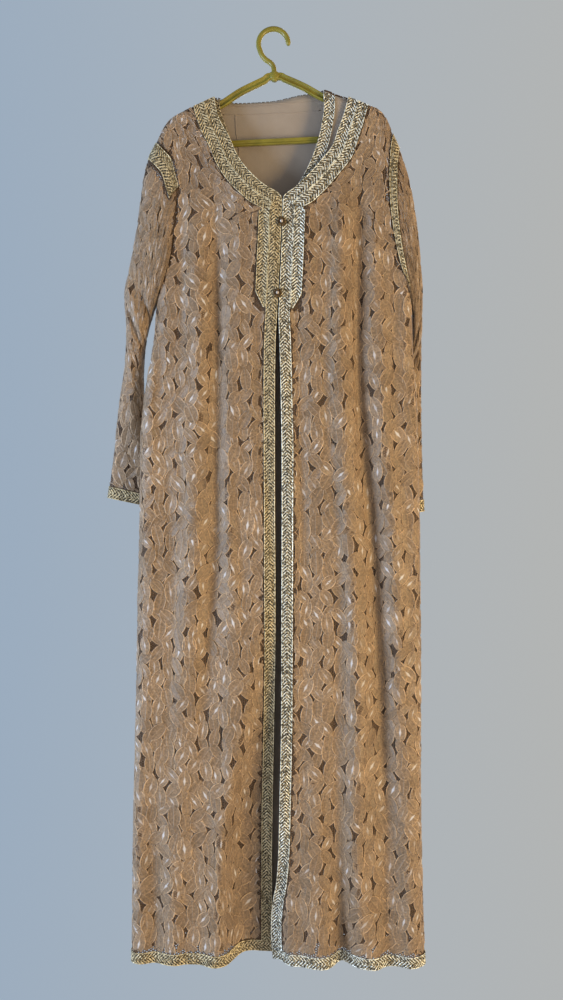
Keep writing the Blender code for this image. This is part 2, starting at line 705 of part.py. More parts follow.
def make_sleeve(side, rows, left_side, collection, materials):
    """Sleeve with its cuff braid and the braid over the armhole seam."""
    grid = sleeve_grid(rows, left_side)
    flip = left_side
    make_sheet("sleeve_" + side, grid, CLOTH_WALL, collection, materials["lace"],
               closed=True, flip=flip)
    normals = grid_normals(grid, True, not flip)
    lifted = [[p + n * BRAID_LIFT for p, n in zip(points, ns)]
              for points, ns in zip(grid[-2:], normals[-2:])]
    make_sheet("cuff_braid_" + side, lifted, BRAID_WALL, collection, materials["braid"],
               closed=True, flip=flip, outside=True)
    behind, ahead = SHOULDER_REACH[side]
    width = len(grid[0])
    order = [index % width for index in range(-behind, ahead + 1)]
    part = [[row[index] for index in order] for row in grid[:3]]
    part_normals = [[row[index] for index in order] for row in normals[:3]]
    braid = raised(part, part_normals, SHOULDER_BRAID_ROWS, range(len(order)))
    make_sheet("shoulder_braid_" + side, braid, BRAID_WALL, collection, materials["braid"],
               flip=flip, outside=True)


def make_button(button, depth, collection, material):
    """Flower-shaped button with a pearl, its back towards the braid."""
    build = bmesh.new()
    bmesh.ops.create_uvsphere(build, u_segments=4 * PETALS, v_segments=10, radius=1.0)
    for vert in build.verts:
        polar = math.acos(max(-1.0, min(1.0, vert.co.z)))
        turn = math.atan2(vert.co.y, vert.co.x)
        share = polar / math.pi
        petal = 1.0 + 0.10 * math.cos(PETALS * turn)
        if share < 0.35:
            radius = PEARL_RADIUS * math.sin(share / 0.35 * math.pi / 2.0)
            height = BUTTON_HEIGHT - PEARL_RADIUS + PEARL_RADIUS * math.cos(share / 0.35 * math.pi / 2.0)
        else:
            spread = math.sin((share - 0.35) / 0.65 * math.pi)
            radius = blend(PEARL_RADIUS * (1.0 - share) / 0.65, BUTTON_RADIUS * petal, spread)
            height = (BUTTON_HEIGHT - PEARL_RADIUS) * (1.0 - (share - 0.35) / 0.65)
        vert.co = Vector((radius * math.cos(turn), -height, radius * math.sin(turn)))
    made = link_mesh(button.name, build, collection, material)
    made.location = Vector((button.x, depth, -button.drop)) * MM
    made.data.shade_smooth()
    return made


def hanger_outline():
    """Outer and inner outlines of the hanger's body, in (x, z)."""
    outer = [Vector((point.x, -point.drop)) for point in ARM_TOP]
    loops = []
    for centre, start, end in ((LOOP_LEFT, 60.0, -90.0), (LOOP_RIGHT, -90.0, -240.0)):
        arc = []
        for step in range(LOOP_STEPS + 1):
            angle = math.radians(blend(start, end, step / LOOP_STEPS))
            arc.append((centre, angle))
        loops.append(arc)
    for arc in loops:
        for centre, angle in arc:
            outer.append(Vector((centre.x + LOOP_RADIUS * math.cos(angle),
                                 -centre.drop + LOOP_RADIUS * math.sin(angle))))
    inner = []
    for arc, height in zip(loops, (BAR_HEIGHT, BAR_HEIGHT)):
        for centre, angle in arc:
            radius = LOOP_RADIUS - height
            inner.append(Vector((centre.x + radius * math.cos(angle),
                                 -centre.drop + radius * math.sin(angle))))
    lower = [Vector((point.x, -point.drop - ARM_HEIGHT * 1.08)) for point in ARM_TOP[1:-1]
             if abs(point.x) > 16.0]
    inner += lower
    return outer, inner


def add_outline(curve, points):
    """Closed straight-sided outline in a flat curve."""
    spline = curve.splines.new("POLY")
    spline.points.add(len(points) - 1)
    for target, point in zip(spline.points, points):
        target.co = (point.x * MM, point.y * MM, 0.0, 1.0)
    spline.use_cyclic_u = True


def solid_from(made, collection, name):
    """Mesh object of an evaluated object, with its caps welded; the first object is removed."""
    bpy.context.view_layer.update()
    graph = bpy.context.evaluated_depsgraph_get()
    mesh = bpy.data.meshes.new_from_object(made.evaluated_get(graph))
    build = bmesh.new()
    build.from_mesh(mesh)
    bmesh.ops.remove_doubles(build, verts=build.verts, dist=0.00001)
    bmesh.ops.recalc_face_normals(build, faces=build.faces)
    build.to_mesh(mesh)
    build.free()
    solid = bpy.data.objects.new(name, mesh)
    solid.matrix_world = made.matrix_world.copy()
    collection.objects.link(solid)
    bpy.data.objects.remove(made)
    return solid


def make_hanger(collection, cutters, material):
    """Moulded hanger: flat body with its bar, and a round hook joined into it."""
    outer, inner = hanger_outline()
    curve = bpy.data.curves.new("hanger_outline", "CURVE")
    curve.dimensions = "2D"
    curve.fill_mode = "BOTH"
    curve.extrude = HANGER_THICK / 2 * MM
    add_outline(curve, outer)
    add_outline(curve, inner)
    flat = bpy.data.objects.new("hanger_flat", curve)
    flat.rotation_euler = (math.radians(90.0), 0.0, 0.0)
    collection.objects.link(flat)
    body = solid_from(flat, collection, "hanger")
    body.data.materials.clear()
    body.data.materials.append(material)

    route = []
    for step in range(19):
        angle = math.radians(blend(HOOK_TIP_ANGLE, HOOK_END_ANGLE, step / 18))
        route.append((HOOK_CENTRE.x + HOOK_RADIUS * math.cos(angle),
                      -HOOK_CENTRE.drop + HOOK_RADIUS * math.sin(angle)))
    route += [(point.x, -point.drop) for point in HOOK_NECK]
    wire = bpy.data.curves.new("hook_wire", "CURVE")
    wire.dimensions = "3D"
    wire.bevel_depth = HOOK_ROD * MM
    wire.bevel_resolution = 2
    wire.use_fill_caps = True
    spline = wire.splines.new("POLY")
    spline.points.add(len(route) - 1)
    for target, (x, z) in zip(spline.points, route):
        target.co = (x * MM, 0.0, z * MM, 1.0)
    rod = bpy.data.objects.new("hook_rod", wire)
    collection.objects.link(rod)
    hook = solid_from(rod, cutters, "hook_solid")
    hook.hide_render = True
    hook.display_type = "WIRE"

    join = body.modifiers.new("hook", "BOOLEAN")
    join.operation = "UNION"
    join.solver = "EXACT"
    join.object = hook
    return body


def main():
    """Build the garment and its hanger in a collection of its own."""
    for old in list(bpy.data.objects):
        bpy.data.objects.remove(old)
    collection = bpy.data.collections.new("kaftan_on_hanger")
    cutters = bpy.data.collections.new("cutters")
    for made in (collection, cutters):
        bpy.context.scene.collection.children.link(made)
    materials = {name: make_material(name) for name in FINISHES}

    make_front("right", False, RIGHT_EDGE, RIGHT_LINING_EDGE, collection, materials)
    make_front("left", True, LEFT_EDGE, LEFT_LINING_EDGE, collection, materials)
    make_back(collection, materials)
    make_sleeve("right", RIGHT_SLEEVE, False, collection, materials)
    make_sleeve("left", LEFT_SLEEVE, True, collection, materials)
    for button in BUTTONS:
        front = min(front_y(button.x + step, button.drop, step > 0) for step in (-7.0, 7.0))
        depth = front - BRAID_LIFT - BRAID_WALL - SEAM_GAP
        make_button(button, depth, collection, materials["bronze"])
    make_hanger(collection, cutters, materials["plastic"])


main()
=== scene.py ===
"""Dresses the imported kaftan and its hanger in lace, lining, woven braid, bronze and moulded plastic.

Lengths in the tables are millimetres. "drop" is the distance below the hook's seat, x runs to the
viewer's right and y runs away from the viewer. Left and right in names are the wearer's.
"""

import logging
import math
from collections.abc import Iterator, Sequence
from contextlib import contextmanager
from dataclasses import dataclass, field
from enum import Enum

import bmesh
import bpy
import numpy as np
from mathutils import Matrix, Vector


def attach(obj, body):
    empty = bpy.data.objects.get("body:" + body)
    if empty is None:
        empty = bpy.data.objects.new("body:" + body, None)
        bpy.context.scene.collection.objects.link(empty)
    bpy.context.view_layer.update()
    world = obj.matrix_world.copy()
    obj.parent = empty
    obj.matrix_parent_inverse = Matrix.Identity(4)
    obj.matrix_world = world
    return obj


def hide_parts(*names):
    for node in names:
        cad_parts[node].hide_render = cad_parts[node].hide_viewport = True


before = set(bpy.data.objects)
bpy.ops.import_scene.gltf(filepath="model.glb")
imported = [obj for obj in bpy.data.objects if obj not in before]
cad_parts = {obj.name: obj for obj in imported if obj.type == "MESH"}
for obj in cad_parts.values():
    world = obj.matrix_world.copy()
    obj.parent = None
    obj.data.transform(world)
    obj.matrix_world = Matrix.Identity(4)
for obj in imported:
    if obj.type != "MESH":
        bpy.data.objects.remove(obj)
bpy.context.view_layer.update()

log = logging.getLogger("kaftan")

MM = 0.001
Rows = tuple[tuple[float, ...], ...]
Array = np.ndarray


class Part(Enum):
    """Wearer's side of a piece."""

    RIGHT = "right"
    LEFT = "left"


@dataclass(frozen=True)
class Table:
    """Rows of numbers read smoothly along their first column, without overshoot."""

    columns: tuple[str, ...]
    rows: Rows

    def at(self, place: Array | float, column: str) -> Array:
        """Value of a column at each place along the first column.

        Args:
            place: Positions along the first column.
            column: Name of the column to read.

        Returns:
            One value for each position.
        """
        data = np.array(self.rows, float)
        return read_smooth(data[:, 0], data[:, self.columns.index(column)], place)

    def first(self) -> float:
        """First key of the table."""
        return self.rows[0][0]


def read_smooth(keys: Array, values: Array, place: Array | float) -> Array:
    """Monotone cubic reading of a list of values.

    Args:
        keys: Increasing positions of the values.
        values: Values at the keys.
        place: Positions to read.

    Returns:
        One value for each position, constant outside the keys.
    """
    spot = np.clip(np.asarray(place, float), keys[0], keys[-1])
    index = np.clip(np.searchsorted(keys, spot, side="right") - 1, 0, len(keys) - 2)
    spans = np.diff(keys)
    slopes = np.diff(values) / spans
    product = slopes[:-1] * slopes[1:]
    total = np.where(product > 0.0, slopes[:-1] + slopes[1:], 1.0)
    inner = np.where(product > 0.0, 2.0 * product / total, 0.0)
    tangents = np.concatenate([slopes[:1], inner, slopes[-1:]])
    span = spans[index]
    t = (spot - keys[index]) / span
    h00 = (1.0 + 2.0 * t) * (1.0 - t) ** 2
    h10 = t * (1.0 - t) ** 2
    h01 = t * t * (3.0 - 2.0 * t)
    h11 = t * t * (t - 1.0)
    return (h00 * values[index] + h10 * span * tangents[index]
            + h01 * values[index + 1] + h11 * span * tangents[index + 1])


CLOTH_WALL = 0.6
LINING_WALL = 0.6
BRAID_LIFT = 0.4
BRAID_WALL = 0.7
SEAM_GAP = 0.3
OUTLINE_GAP = 0.7
LINING_GAP = 1.2
BRAID_WIDTH = 19.5
HEM_BRAID = 19.0
CUFF_BRAID = 21.0
PLACKET_END = 486.0
PLACKET_CHAMFER = 26.0
PLACKET_CUT = 0.8
BRAID_PARTING = 0.24

LEAF_LENGTH = 38.0
LEAF_WIDTH = 23.0
LEAF_PITCH = 20.0
LEAF_SPACING = 22.5
LEAF_TURN = 0.42
LEAF_JITTER = 3.2
THREAD_WIDTH = 2.7
THREAD_PITCH = 5.8
THREAD_SLANT = 1.0
THREAD_THICKNESS = 0.55
THREAD_SWELL = 0.38
THREAD_WAVE = 4.6
EDGE_CORD = 0.75
FULL_TURN = 6.2832
THREAD_MARGIN = 0.00005
CORD_MARGIN = 0.00002

TOP_ROW = 1.1
INNER = 5
HEM_ROWS = 4
HEM_CLEARANCE = 0.06
LINING_BRAID_END = 290.0
FRONT_STEP = 5.0
FRONT_LINING_STEP = 7.0
BACK_STEP = 6.0
BACK_LINING_STEP = 8.0
SLEEVE_STEP = 5.5
RING_SPREAD = 1.15
NEAR_SEAM = (12.0, 7.5, 4.0, 1.5, 0.0)
EDGE_SPAN = 25.0
EDGE_TURN = 70.0
ELBOW = {Part.RIGHT: 0.47, Part.LEFT: 0.6}
ELBOW_SLANT = 0.04
FOLD_DEPTH = 6.5
FOLD_WIDTH = 0.018
ROLL_HEIGHT = 4.0
ROLL_AHEAD = 0.045
ROLL_WIDTH = 0.026
CREASE_DEPTH = 11.0
CREASE_PLACE = 0.405
CREASE_SLANT = 0.09
CREASE_WIDTH = 0.022
# Net thread colour, darkened below the threads' own tan: painted shade for the shadowed gaps between the
# leaves.
NET_PAINTED_SHADE_COLOUR = (0.115, 0.065, 0.035)
LINING_COLOUR = (0.37, 0.305, 0.25)
# Colour of the painted highlight in the middle of some leaves.
LEAF_PAINTED_HIGHLIGHT = (0.74, 0.72, 0.74)

NECK_ROUND = 5.0
NECK_SPREAD = 0.25
SIDE_ROUND_FRONT = 16.0
SIDE_ROUND_BACK = 18.0
HEM_ROUND_BACK = 60.0
LINING_INSET = 4.5
SHOULDER_INSET = 0.75
LINING_DEPTH = 4.8
LINING_DROP = 1545.0
LINING_REACH = 21.0
SHOULDER_FADE = 110.0
YOKE_FADE = 275.0
SLEEVE_ROUND = 2.2
NECK_LEFT_X = 84.0
NECK_RIGHT_X = -96.0
HEM = {Part.RIGHT: 1620.0, Part.LEFT: 1625.0}
UNDERARM_INNER = 440.0
CENTRE_X = 12.0
CENTRE_HALF = 40.0
FLANK_HALF = 150.0

SIDES = Table(("drop", "left", "right"), (
    (175, -207, 205), (300, -207, 220), (466, -207, 238), (541, -212, 240),
    (593, -221, 243.5), (646, -229, 248), (716, -235, 250), (821, -236, 252),
    (996, -240, 254), (1171, -243, 255), (1346, -247, 255), (1486, -249, 258),
    (1625, -250, 262),
))
SHOULDERS = Table(("x", "drop"), (
    (-207, 191), (-198, 172), (-184, 152), (-168, 142), (-130, 124), (-96, 112), (-66, 115),
    (-7, 112), (53, 100), (84, 98), (108, 107), (128, 113), (164, 127), (180, 134),
    (192, 147), (205, 175),
))
ARMHOLES: dict[Part, Rows] = {
    Part.RIGHT: (
        (-207, 191), (-193, 207), (-179, 224), (-172, 251), (-167, 272), (-170, 300),
        (-174, 343), (-179, 387), (-188, 421), (-201, 451), (-207, 466),
    ),
    Part.LEFT: (
        (205, 175), (202, 190), (200, 207), (198.5, 236), (198, 260), (199, 290),
        (204, 336), (212, 380), (222, 422), (233, 452), (238, 462),
    ),
}
EDGES = {
    Part.RIGHT: Table(("drop", "x"), (
        (113, -105), (130, -103), (158, -95), (185, -80), (221, -64), (249, -44), (272, -20),
        (296, 12), (331, 11), (425, 7), (477, 4.5), (500, 3.4), (545, 1), (648, 0), (1063, 1),
        (1258, -2), (1439, -5), (1620, -5),
    )),
    Part.LEFT: Table(("drop", "x"), (
        (113, 128), (130, 124), (151, 118), (175, 109), (202, 100), (226, 82), (252, 61),
        (276, 37), (296, 14), (331, 13), (425, 9.2), (477, 6.9), (500, 6.2), (545, 8), (648, 10.5),
        (734, 12), (1166, 11), (1339, 8), (1427, 6), (1482, 2), (1521, -4), (1568, -7),
        (1625, -4),
    )),
}
LINING_EDGES = {
    Part.RIGHT: Table(("drop", "x"), (
        (113, -96), (131, -96), (155, -90), (186, -78), (221, -67), (249, -49), (272, -26),
        (296, 0), (331, -4), (545, -12), (1063, -14), (1560, -18),
    )),
    Part.LEFT: Table(("drop", "x"), (
        (98, 84), (132, 85), (169, 80), (204, 71), (238, 58), (272, 40), (296, 26),
        (331, 26), (545, 28), (1063, 30), (1560, 34),
    )),
}
DEPTHS = Table(("drop", "centre", "flank", "back"), (
    (95, 11, 11, 14), (150, 13, 11, 15), (200, 16, 11, 17), (300, 23, 12, 18),
    (480, 24, 14, 18), (600, 20, 16, 17), (900, 20, 17, 18), (1200, 18, 16, 27),
    (1625, 15, 14, 47),
))

FOLD = ("drop", "x", "height", "width")
FRONT_FOLDS = {
    "right_outer_crest": Table(FOLD, (
        (260, -140, 0, 16), (355, -138, 8, 18), (528, -136, 11, 20), (872, -136, 11, 20),
        (1045, -145, 8, 22), (1250, -150, 3, 26), (1390, -160, 5, 24), (1520, -170, 6, 22),
        (1625, -172, 5, 22),
    )),
    "right_middle_valley": Table(FOLD, (
        (300, -104, 0, 12), (400, -101, -6, 13), (528, -100, -9, 14), (872, -100, -9, 14),
        (1045, -110, -6, 16), (1250, -120, 0, 18),
    )),
    "right_inner_crest": Table(FOLD, (
        (400, -80, 0, 12), (528, -80, 5, 13), (872, -80, 6, 14), (1045, -66, 6, 18),
        (1215, -70, 8, 18), (1390, -88, 10, 18), (1520, -94, 12, 18), (1625, -102, 14, 18),
    )),
    "right_side_valley": Table(FOLD, (
        (1200, -222, 0, 10), (1390, -214, -5, 12), (1520, -205, -7, 13), (1625, -205, -4, 13),
    )),
    "left_middle_crest": Table(FOLD, (
        (250, 112, 0, 14), (355, 113, 7, 15), (528, 110, 9, 16), (700, 117, 10, 17),
        (872, 128, 11, 18), (1215, 143, 12, 18), (1390, 143, 12, 18), (1520, 148, 12, 20),
        (1625, 165, 12, 24),
    )),
    "left_deep_valley": Table(FOLD, (
        (260, 146, 0, 9), (355, 145, -6, 10), (528, 143, -10, 11), (700, 152, -12, 13),
        (872, 169, -12, 14), (1215, 188, -12, 15), (1390, 192, -10, 15), (1520, 192, -7, 15),
        (1625, 195, -3, 15),
    )),
    "left_outer_crest": Table(FOLD, (
        (300, 171, 0, 10), (528, 180, 5, 13), (700, 185, 6, 16), (872, 202, 7, 16),
        (1215, 222, 7, 15), (1625, 236, 5, 15),
    )),
    "left_strip_valley": Table(FOLD, (
        (420, 44, 0, 11), (528, 44, -4, 12), (872, 46, -4, 12), (1045, 46, 0, 12),
    )),
    "left_hem_crest": Table(FOLD, ((1250, 70, 0, 18), (1440, 74, 6, 20), (1625, 80, 12, 20))),
    "left_hem_valley": Table(FOLD, (
        (1250, 112, 0, 13), (1440, 114, -8, 14), (1625, 117, -23, 14),
    )),
}
BACK_FOLDS = {
    "right_back_crest": Table(FOLD, ((420, -120, 0, 20), (800, -118, 4, 24), (1625, -130, 8, 26))),
    "middle_back_valley": Table(FOLD, (
        (500, -30, 0, 22), (900, -34, -4, 24), (1200, -40, -4, 24), (1450, -46, 0, 24),
    )),
    "left_back_crest": Table(FOLD, ((900, 70, 0, 22), (1200, 76, 5, 24), (1625, 84, 9, 26))),
}
RECESS = ("drop", "x", "depth", "width")
RIGHT_RECESS = Table(RECESS, (
    (1000, -10, 0, 8), (1045, -22, 4, 10), (1215, -44, 16, 14), (1390, -74, 30, 18),
    (1520, -80, 38, 20), (1625, -70, 43, 18),
))
LEFT_RECESS = Table(RECESS, (
    (1300, 22, 0, 12), (1427, 22, 5, 12), (1482, 18, 11, 12), (1521, 14, 18, 12),
    (1568, 12, 23, 12), (1625, 16, 28, 14),
))
SLEEVE = ("t", "out_x", "out_drop", "out_y", "in_x", "in_drop", "in_y", "front", "back", "pull")
SLEEVES = {
    Part.RIGHT: Table(SLEEVE, (
        (0.00, -207, 191, 0, -207, 466, 0, 11, 11, 1.00),
        (0.05, -222, 222, 1, -208, 472, 0, 16, 13, 0.86),
        (0.12, -232, 268, 2, -211, 480, 2, 19, 14, 0.68),
        (0.22, -240, 330, 3, -215, 492, 4, 20, 15, 0.42),
        (0.34, -252, 398, 4, -221, 512, 7, 19, 16, 0.20),
        (0.46, -264, 462, 6, -228, 542, 11, 17, 17, 0.07),
        (0.55, -261, 512, 9, -232, 575, 15, 15, 17, 0.00),
        (0.64, -264, 566, 13, -234, 614, 21, 14, 16, 0.00),
        (0.78, -277, 650, 20, -226, 690, 30, 12, 14, 0.00),
        (0.90, -287, 735, 25, -206, 765, 34, 11, 12, 0.00),
        (1.00, -298, 813, 26, -188, 836, 36, 12, 12, 0.00),
    )),
    Part.LEFT: Table(SLEEVE, (
        (0.00, 205, 175, 0, 238, 462, 0, 11, 11, 1.00),
        (0.05, 217, 202, 0, 239, 466, 0, 12, 12, 0.86),
        (0.12, 233, 252, 1, 240.5, 474, 1, 13, 13, 0.64),
        (0.22, 245, 314, 2, 242, 486, 3, 13, 13, 0.38),
        (0.34, 254, 388, 5, 244, 504, 8, 12, 12, 0.16),
        (0.46, 259, 448, 10, 244, 535, 16, 11, 11, 0.05),
        (0.55, 259.5, 502, 17, 240, 572, 26, 10, 10, 0.00),
        (0.64, 260, 560, 24, 222, 618, 33, 9, 10, 0.00),
        (0.78, 261, 650, 29, 184, 695, 33, 9, 10, 0.00),
        (0.90, 263, 745, 31, 140, 780, 33, 9, 10, 0.00),
        (1.00, 266, 837, 31, 118, 856, 33, 10, 10, 0.00),
    )),
}

BACK_STITCHES = (
    ((-96, 121), (-66, 121.5), (-7, 119), (53, 116), (84, 113)),
    ((-92, 138), (-60, 138), (-7, 136), (53, 133), (80, 130)),
    ((-70, 138), (-69, 165), (-64, 200), (-66, 240)),
)
SHOULDER_REACH = {Part.RIGHT: (4, 4), Part.LEFT: (4, 8)}
SHOULDER_SHARES = (0.0022, 0.0496)
SHOULDER_BAND = 27.0


def ease(value: Array | float) -> Array:
    """Smooth step from 0 to 1 as value goes from 0 to 1."""
    clamped = np.clip(value, 0.0, 1.0)
    return clamped * clamped * (3.0 - 2.0 * clamped)


def dome(value: Array | float) -> Array:
    """Quarter circle that rises from 0 at 0 to 1 at 1."""
    return np.sqrt(1.0 - (1.0 - np.clip(value, 0.0, 1.0)) ** 2)


def mix(start: Array | float, end: Array | float, share: Array | float) -> Array:
    """Value a share of the way from start to end."""
    return start + (end - start) * share


@dataclass(frozen=True)
class Layer:
    """How far a layer of cloth lies inside the outer face."""

    inset: float = 0.0
    behind: float = 0.0
    reach: float = 0.0
    gap: float = OUTLINE_GAP
    ripple: float = 1.0


OUTER = Layer()
LINING = Layer(LINING_INSET, LINING_DEPTH, LINING_REACH, LINING_GAP, 0.0)


class Drape:
    """Shape of the hanging cloth, as depths over x and drop."""

    @staticmethod
    def shoulder(x: Array) -> Array:
        """Height of the shoulder line, and of the back neck between the shoulders."""
        return SHOULDERS.at(x, "drop")

    @staticmethod
    def shoulder_inset(x: Array, inset: float) -> Array:
        """Vertical distance of an inner layer below the shoulder line."""
        slope = (Drape.shoulder(x + 4.0) - Drape.shoulder(x - 4.0)) / 8.0
        return SHOULDER_INSET * inset * np.sqrt(1.0 + slope * slope)

    @staticmethod
    def rounding(x: Array, drop: Array, inset: float, side_round: Array | float) -> Array:
        """Share of the full depth: 0 on the outline, 1 well inside it.

        Args:
            x: Places across.
            drop: Places down.
            inset: Distance of the layer inside the outer face.
            side_round: Width of the rounded flank.

        Returns:
            Shares from 0 to 1.
        """
        left = SIDES.at(drop, "left") + inset
        right = SIDES.at(drop, "right") - inset
        sideways = dome(np.minimum(x - left, right - x) / side_round)
        top = drop - Drape.shoulder(x) - Drape.shoulder_inset(x, inset)
        clearance = np.maximum(0.0, np.minimum(x - NECK_RIGHT_X, NECK_LEFT_X - x))
        return sideways * dome((0.85 * top + NECK_SPREAD * clearance) / NECK_ROUND)

    @staticmethod
    def folds(tables: dict[str, Table], x: Array, drop: Array) -> Array:
        """Sum of the folds at each place, towards the viewer on the front.

        Args:
            tables: One table for each fold.
            x: Places across.
            drop: Places down.

        Returns:
            Heights of the cloth above its smooth form.
        """
        total = np.zeros(np.broadcast(x, drop).shape)
        for table in tables.values():
            width = table.at(drop, "width")
            bump = table.at(drop, "height") * np.exp(-((x - table.at(drop, "x")) / width) ** 2)
            total = total + np.where(drop >= table.first(), bump, 0.0)
        return total

    @staticmethod
    def recess(part: Part, x: Array, drop: Array) -> Array:
        """How far a front edge turns in beside the open slit.

        Args:
            part: Side of the front.
            x: Places across.
            drop: Places down.

        Returns:
            Distances away from the viewer.
        """
        table = RIGHT_RECESS if part is Part.RIGHT else LEFT_RECESS
        sign = 1.0 if part is Part.RIGHT else -1.0
        share = ease(0.5 + sign * (x - table.at(drop, "x")) / (2.0 * table.at(drop, "width")))
        return table.at(drop, "depth") * share

    @staticmethod
    def ripple(x: Array, drop: Array) -> Array:
        """Small soft waves of hanging cloth, under two and a half millimetres high.

        Args:
            x: Places across.
            drop: Places down.

        Returns:
            Heights of the waves.
        """
        slow = np.sin(x / 9.5 + 1.7 * np.sin(drop / 210.0) + 0.4)
        quick = np.sin(x / 4.6 - drop / 160.0 + 2.0 * np.sin(drop / 95.0 + 1.0))
        cross = np.sin(drop / 31.0 + x / 40.0) * np.sin(drop / 83.0 + x / 22.0 + 0.8)
        fade = ease((drop - 200.0) / 150.0)
        return (1.35 * slow + 0.6 * quick + 0.5 * cross) * fade

    @classmethod
    def forward(cls, part: Part, x: Array, drop: Array, layer: Layer) -> Array:
        """Distance of the front from the middle plane before the outline rounds it.

        Args:
            part: Side of the front.
            x: Places across.
            drop: Places down.
            layer: Outer cloth or lining.

        Returns:
            Distances towards the viewer.
        """
        spread = ease((np.abs(x - CENTRE_X) - CENTRE_HALF) / (FLANK_HALF - CENTRE_HALF))
        base = mix(DEPTHS.at(drop, "centre"), DEPTHS.at(drop, "flank"), spread)
        places = [x + layer.reach * share for share in (-1.0, -0.5, 0.0, 0.5, 1.0)]
        if layer.reach == 0.0:
            places = [x]
        folds = np.min([cls.folds(FRONT_FOLDS, place, drop) for place in places], axis=0)
        turned = np.max([cls.recess(part, place, drop) for place in places], axis=0)
        return base + folds - turned - layer.behind + layer.ripple * cls.ripple(x, drop)

    @classmethod
    def front(cls, part: Part, x: Array, drop: Array, layer: Layer) -> Array:
        """Y of a front layer's outer face."""
        depth = cls.forward(part, x, drop, layer)
        return -layer.gap / 2 - depth * cls.rounding(x, drop, layer.inset, SIDE_ROUND_FRONT)

    @classmethod
    def back(cls, x: Array, drop: Array, layer: Layer) -> Array:
        """Y of a back layer's outer face.

        Args:
            x: Places across.
            drop: Places down.
            layer: Outer cloth or lining.

        Returns:
            One y for each place.
        """
        depth = DEPTHS.at(drop, "back") + cls.folds(BACK_FOLDS, x, drop) - layer.behind
        depth = depth + layer.ripple * cls.ripple(-x, drop)
        side_round = mix(SIDE_ROUND_BACK, HEM_ROUND_BACK, ease((drop - 900.0) / 700.0))
        return layer.gap / 2 + depth * cls.rounding(x, drop, layer.inset, side_round)


def refined(points: Array, step: float) -> Array:
    """Smooth curve through points, with closer points.

    Args:
        points: Rows of coordinates.
        step: Longest distance between the new points.

    Returns:
        The points of the curve, with each given point among them.
    """
    lengths = np.linalg.norm(np.diff(points, axis=0), axis=1)
    places = [0.0]
    for index, length in enumerate(lengths):
        count = max(1, math.ceil(length / step))
        places += [index + share / count for share in range(1, count + 1)]
    keys = np.arange(len(points), dtype=float)
    return np.stack([read_smooth(keys, points[:, axis], np.array(places))
                     for axis in range(points.shape[1])], axis=1)


def seam_rows(part: Part, step: float, hem: float) -> Array:
    """Outer edge of a panel as (x, drop): the armhole, then the side seam to the hem.

    Args:
        part: Side of the panel.
        step: Distance between rows.
        hem: Lowest drop.

    Returns:
        One point for each row.
    """
    armhole = refined(np.array(ARMHOLES[part], float), step)
    underarm = armhole[-1, 1]
    count = max(2, round((hem - HEM_BRAID - underarm) / step))
    drops = np.concatenate([np.linspace(underarm, hem - HEM_BRAID, count + 1)[1:],
                            np.linspace(hem - HEM_BRAID, hem, HEM_ROWS + 1)[1:]])
    column = "right" if part is Part.LEFT else "left"
    side = np.stack([SIDES.at(drops, column), drops], axis=1)
    return np.concatenate([armhole, side])


@dataclass
class Surface:
    """One face of cloth as a grid of points in millimetres, with its place in the flat cut."""

    points: Array
    cut: Array
    closed: bool = False
    flip: bool = False

    def normals(self) -> Array:
        """Unit normals at the points, away from the wearer.

        Returns:
            One unit vector for each point.
        """
        down = np.gradient(self.points, axis=0)
        if self.closed:
            ring = self.points[:, :-1]
            across = (np.roll(ring, -1, axis=1) - np.roll(ring, 1, axis=1)) / 2.0
            across = np.concatenate([across, across[:, :1]], axis=1)
            down = np.concatenate([down[:, :-1], down[:, :1]], axis=1)
        else:
            across = np.gradient(self.points, axis=1)
        normal = np.cross(across, down)
        normal /= np.maximum(np.linalg.norm(normal, axis=2, keepdims=True), 1e-9)
        return -normal if self.flip else normal

    def moved(self, distance: float) -> "Surface":
        """The same surface moved out along its normals."""
        return Surface(self.points + self.normals() * distance, self.cut, self.closed, self.flip)

    def part(self, rows: slice, columns: slice) -> "Surface":
        """Open piece of the grid."""
        return Surface(self.points[rows, columns], self.cut[rows, columns],
                       self.closed and columns == slice(None), self.flip)

    def turned(self) -> "Surface":
        """The same face with rows and columns exchanged."""
        return Surface(self.points.transpose(1, 0, 2), self.cut.transpose(1, 0, 2), False,
                       not self.flip)

    def size(self) -> tuple[float, float, float]:
        """Width and length of the flat cut in metres, and its area in square metres.

        Returns:
            The width, the length and the area.
        """
        span = (self.cut.max(axis=(0, 1)) - self.cut.min(axis=(0, 1))) * MM
        if self.closed:
            span[0] = np.ptp(self.cut[self.cut.shape[0] // 4, :, 0]) * MM
        first = self.points[1:, 1:] - self.points[:-1, :-1]
        second = self.points[1:, :-1] - self.points[:-1, 1:]
        area = float(np.linalg.norm(np.cross(first, second), axis=2).sum()) / 2.0 * MM * MM
        return float(span[0]), float(span[1]), min(area, float(span[0] * span[1]))

    def read(self, rows: Array, columns: Array) -> Array:
        """Points and cut places at fractional rows and columns.

        Args:
            rows: Fractional row numbers.
            columns: Fractional column numbers, of the same shape.

        Returns:
            Five values for each place: x, y, z and the cut's two lengths.
        """
        data = np.concatenate([self.points, self.cut], axis=2)
        i = np.clip(rows.astype(int), 0, data.shape[0] - 2)
        j = np.clip(columns.astype(int), 0, data.shape[1] - 2)
        a, b = (rows - i)[..., None], (columns - j)[..., None]
        upper = data[i, j] * (1.0 - b) + data[i, j + 1] * b
        lower = data[i + 1, j] * (1.0 - b) + data[i + 1, j + 1] * b
        return upper * (1.0 - a) + lower * a


def strip_of(surface: Surface, rows: Array, columns: Array) -> Surface:
    """Piece of a surface read at fractional rows and columns.

    Args:
        surface: The whole face.
        rows: Fractional row numbers, one list or one list for each column.
        columns: Fractional column numbers, one list or one list for each row.

    Returns:
        The piece.
    """
    rows = rows[:, None] if rows.ndim == 1 else rows
    rows, columns = np.broadcast_arrays(rows, np.atleast_2d(columns))
    data = surface.read(rows, columns)
    return Surface(data[..., :3], data[..., 3:], False, surface.flip)


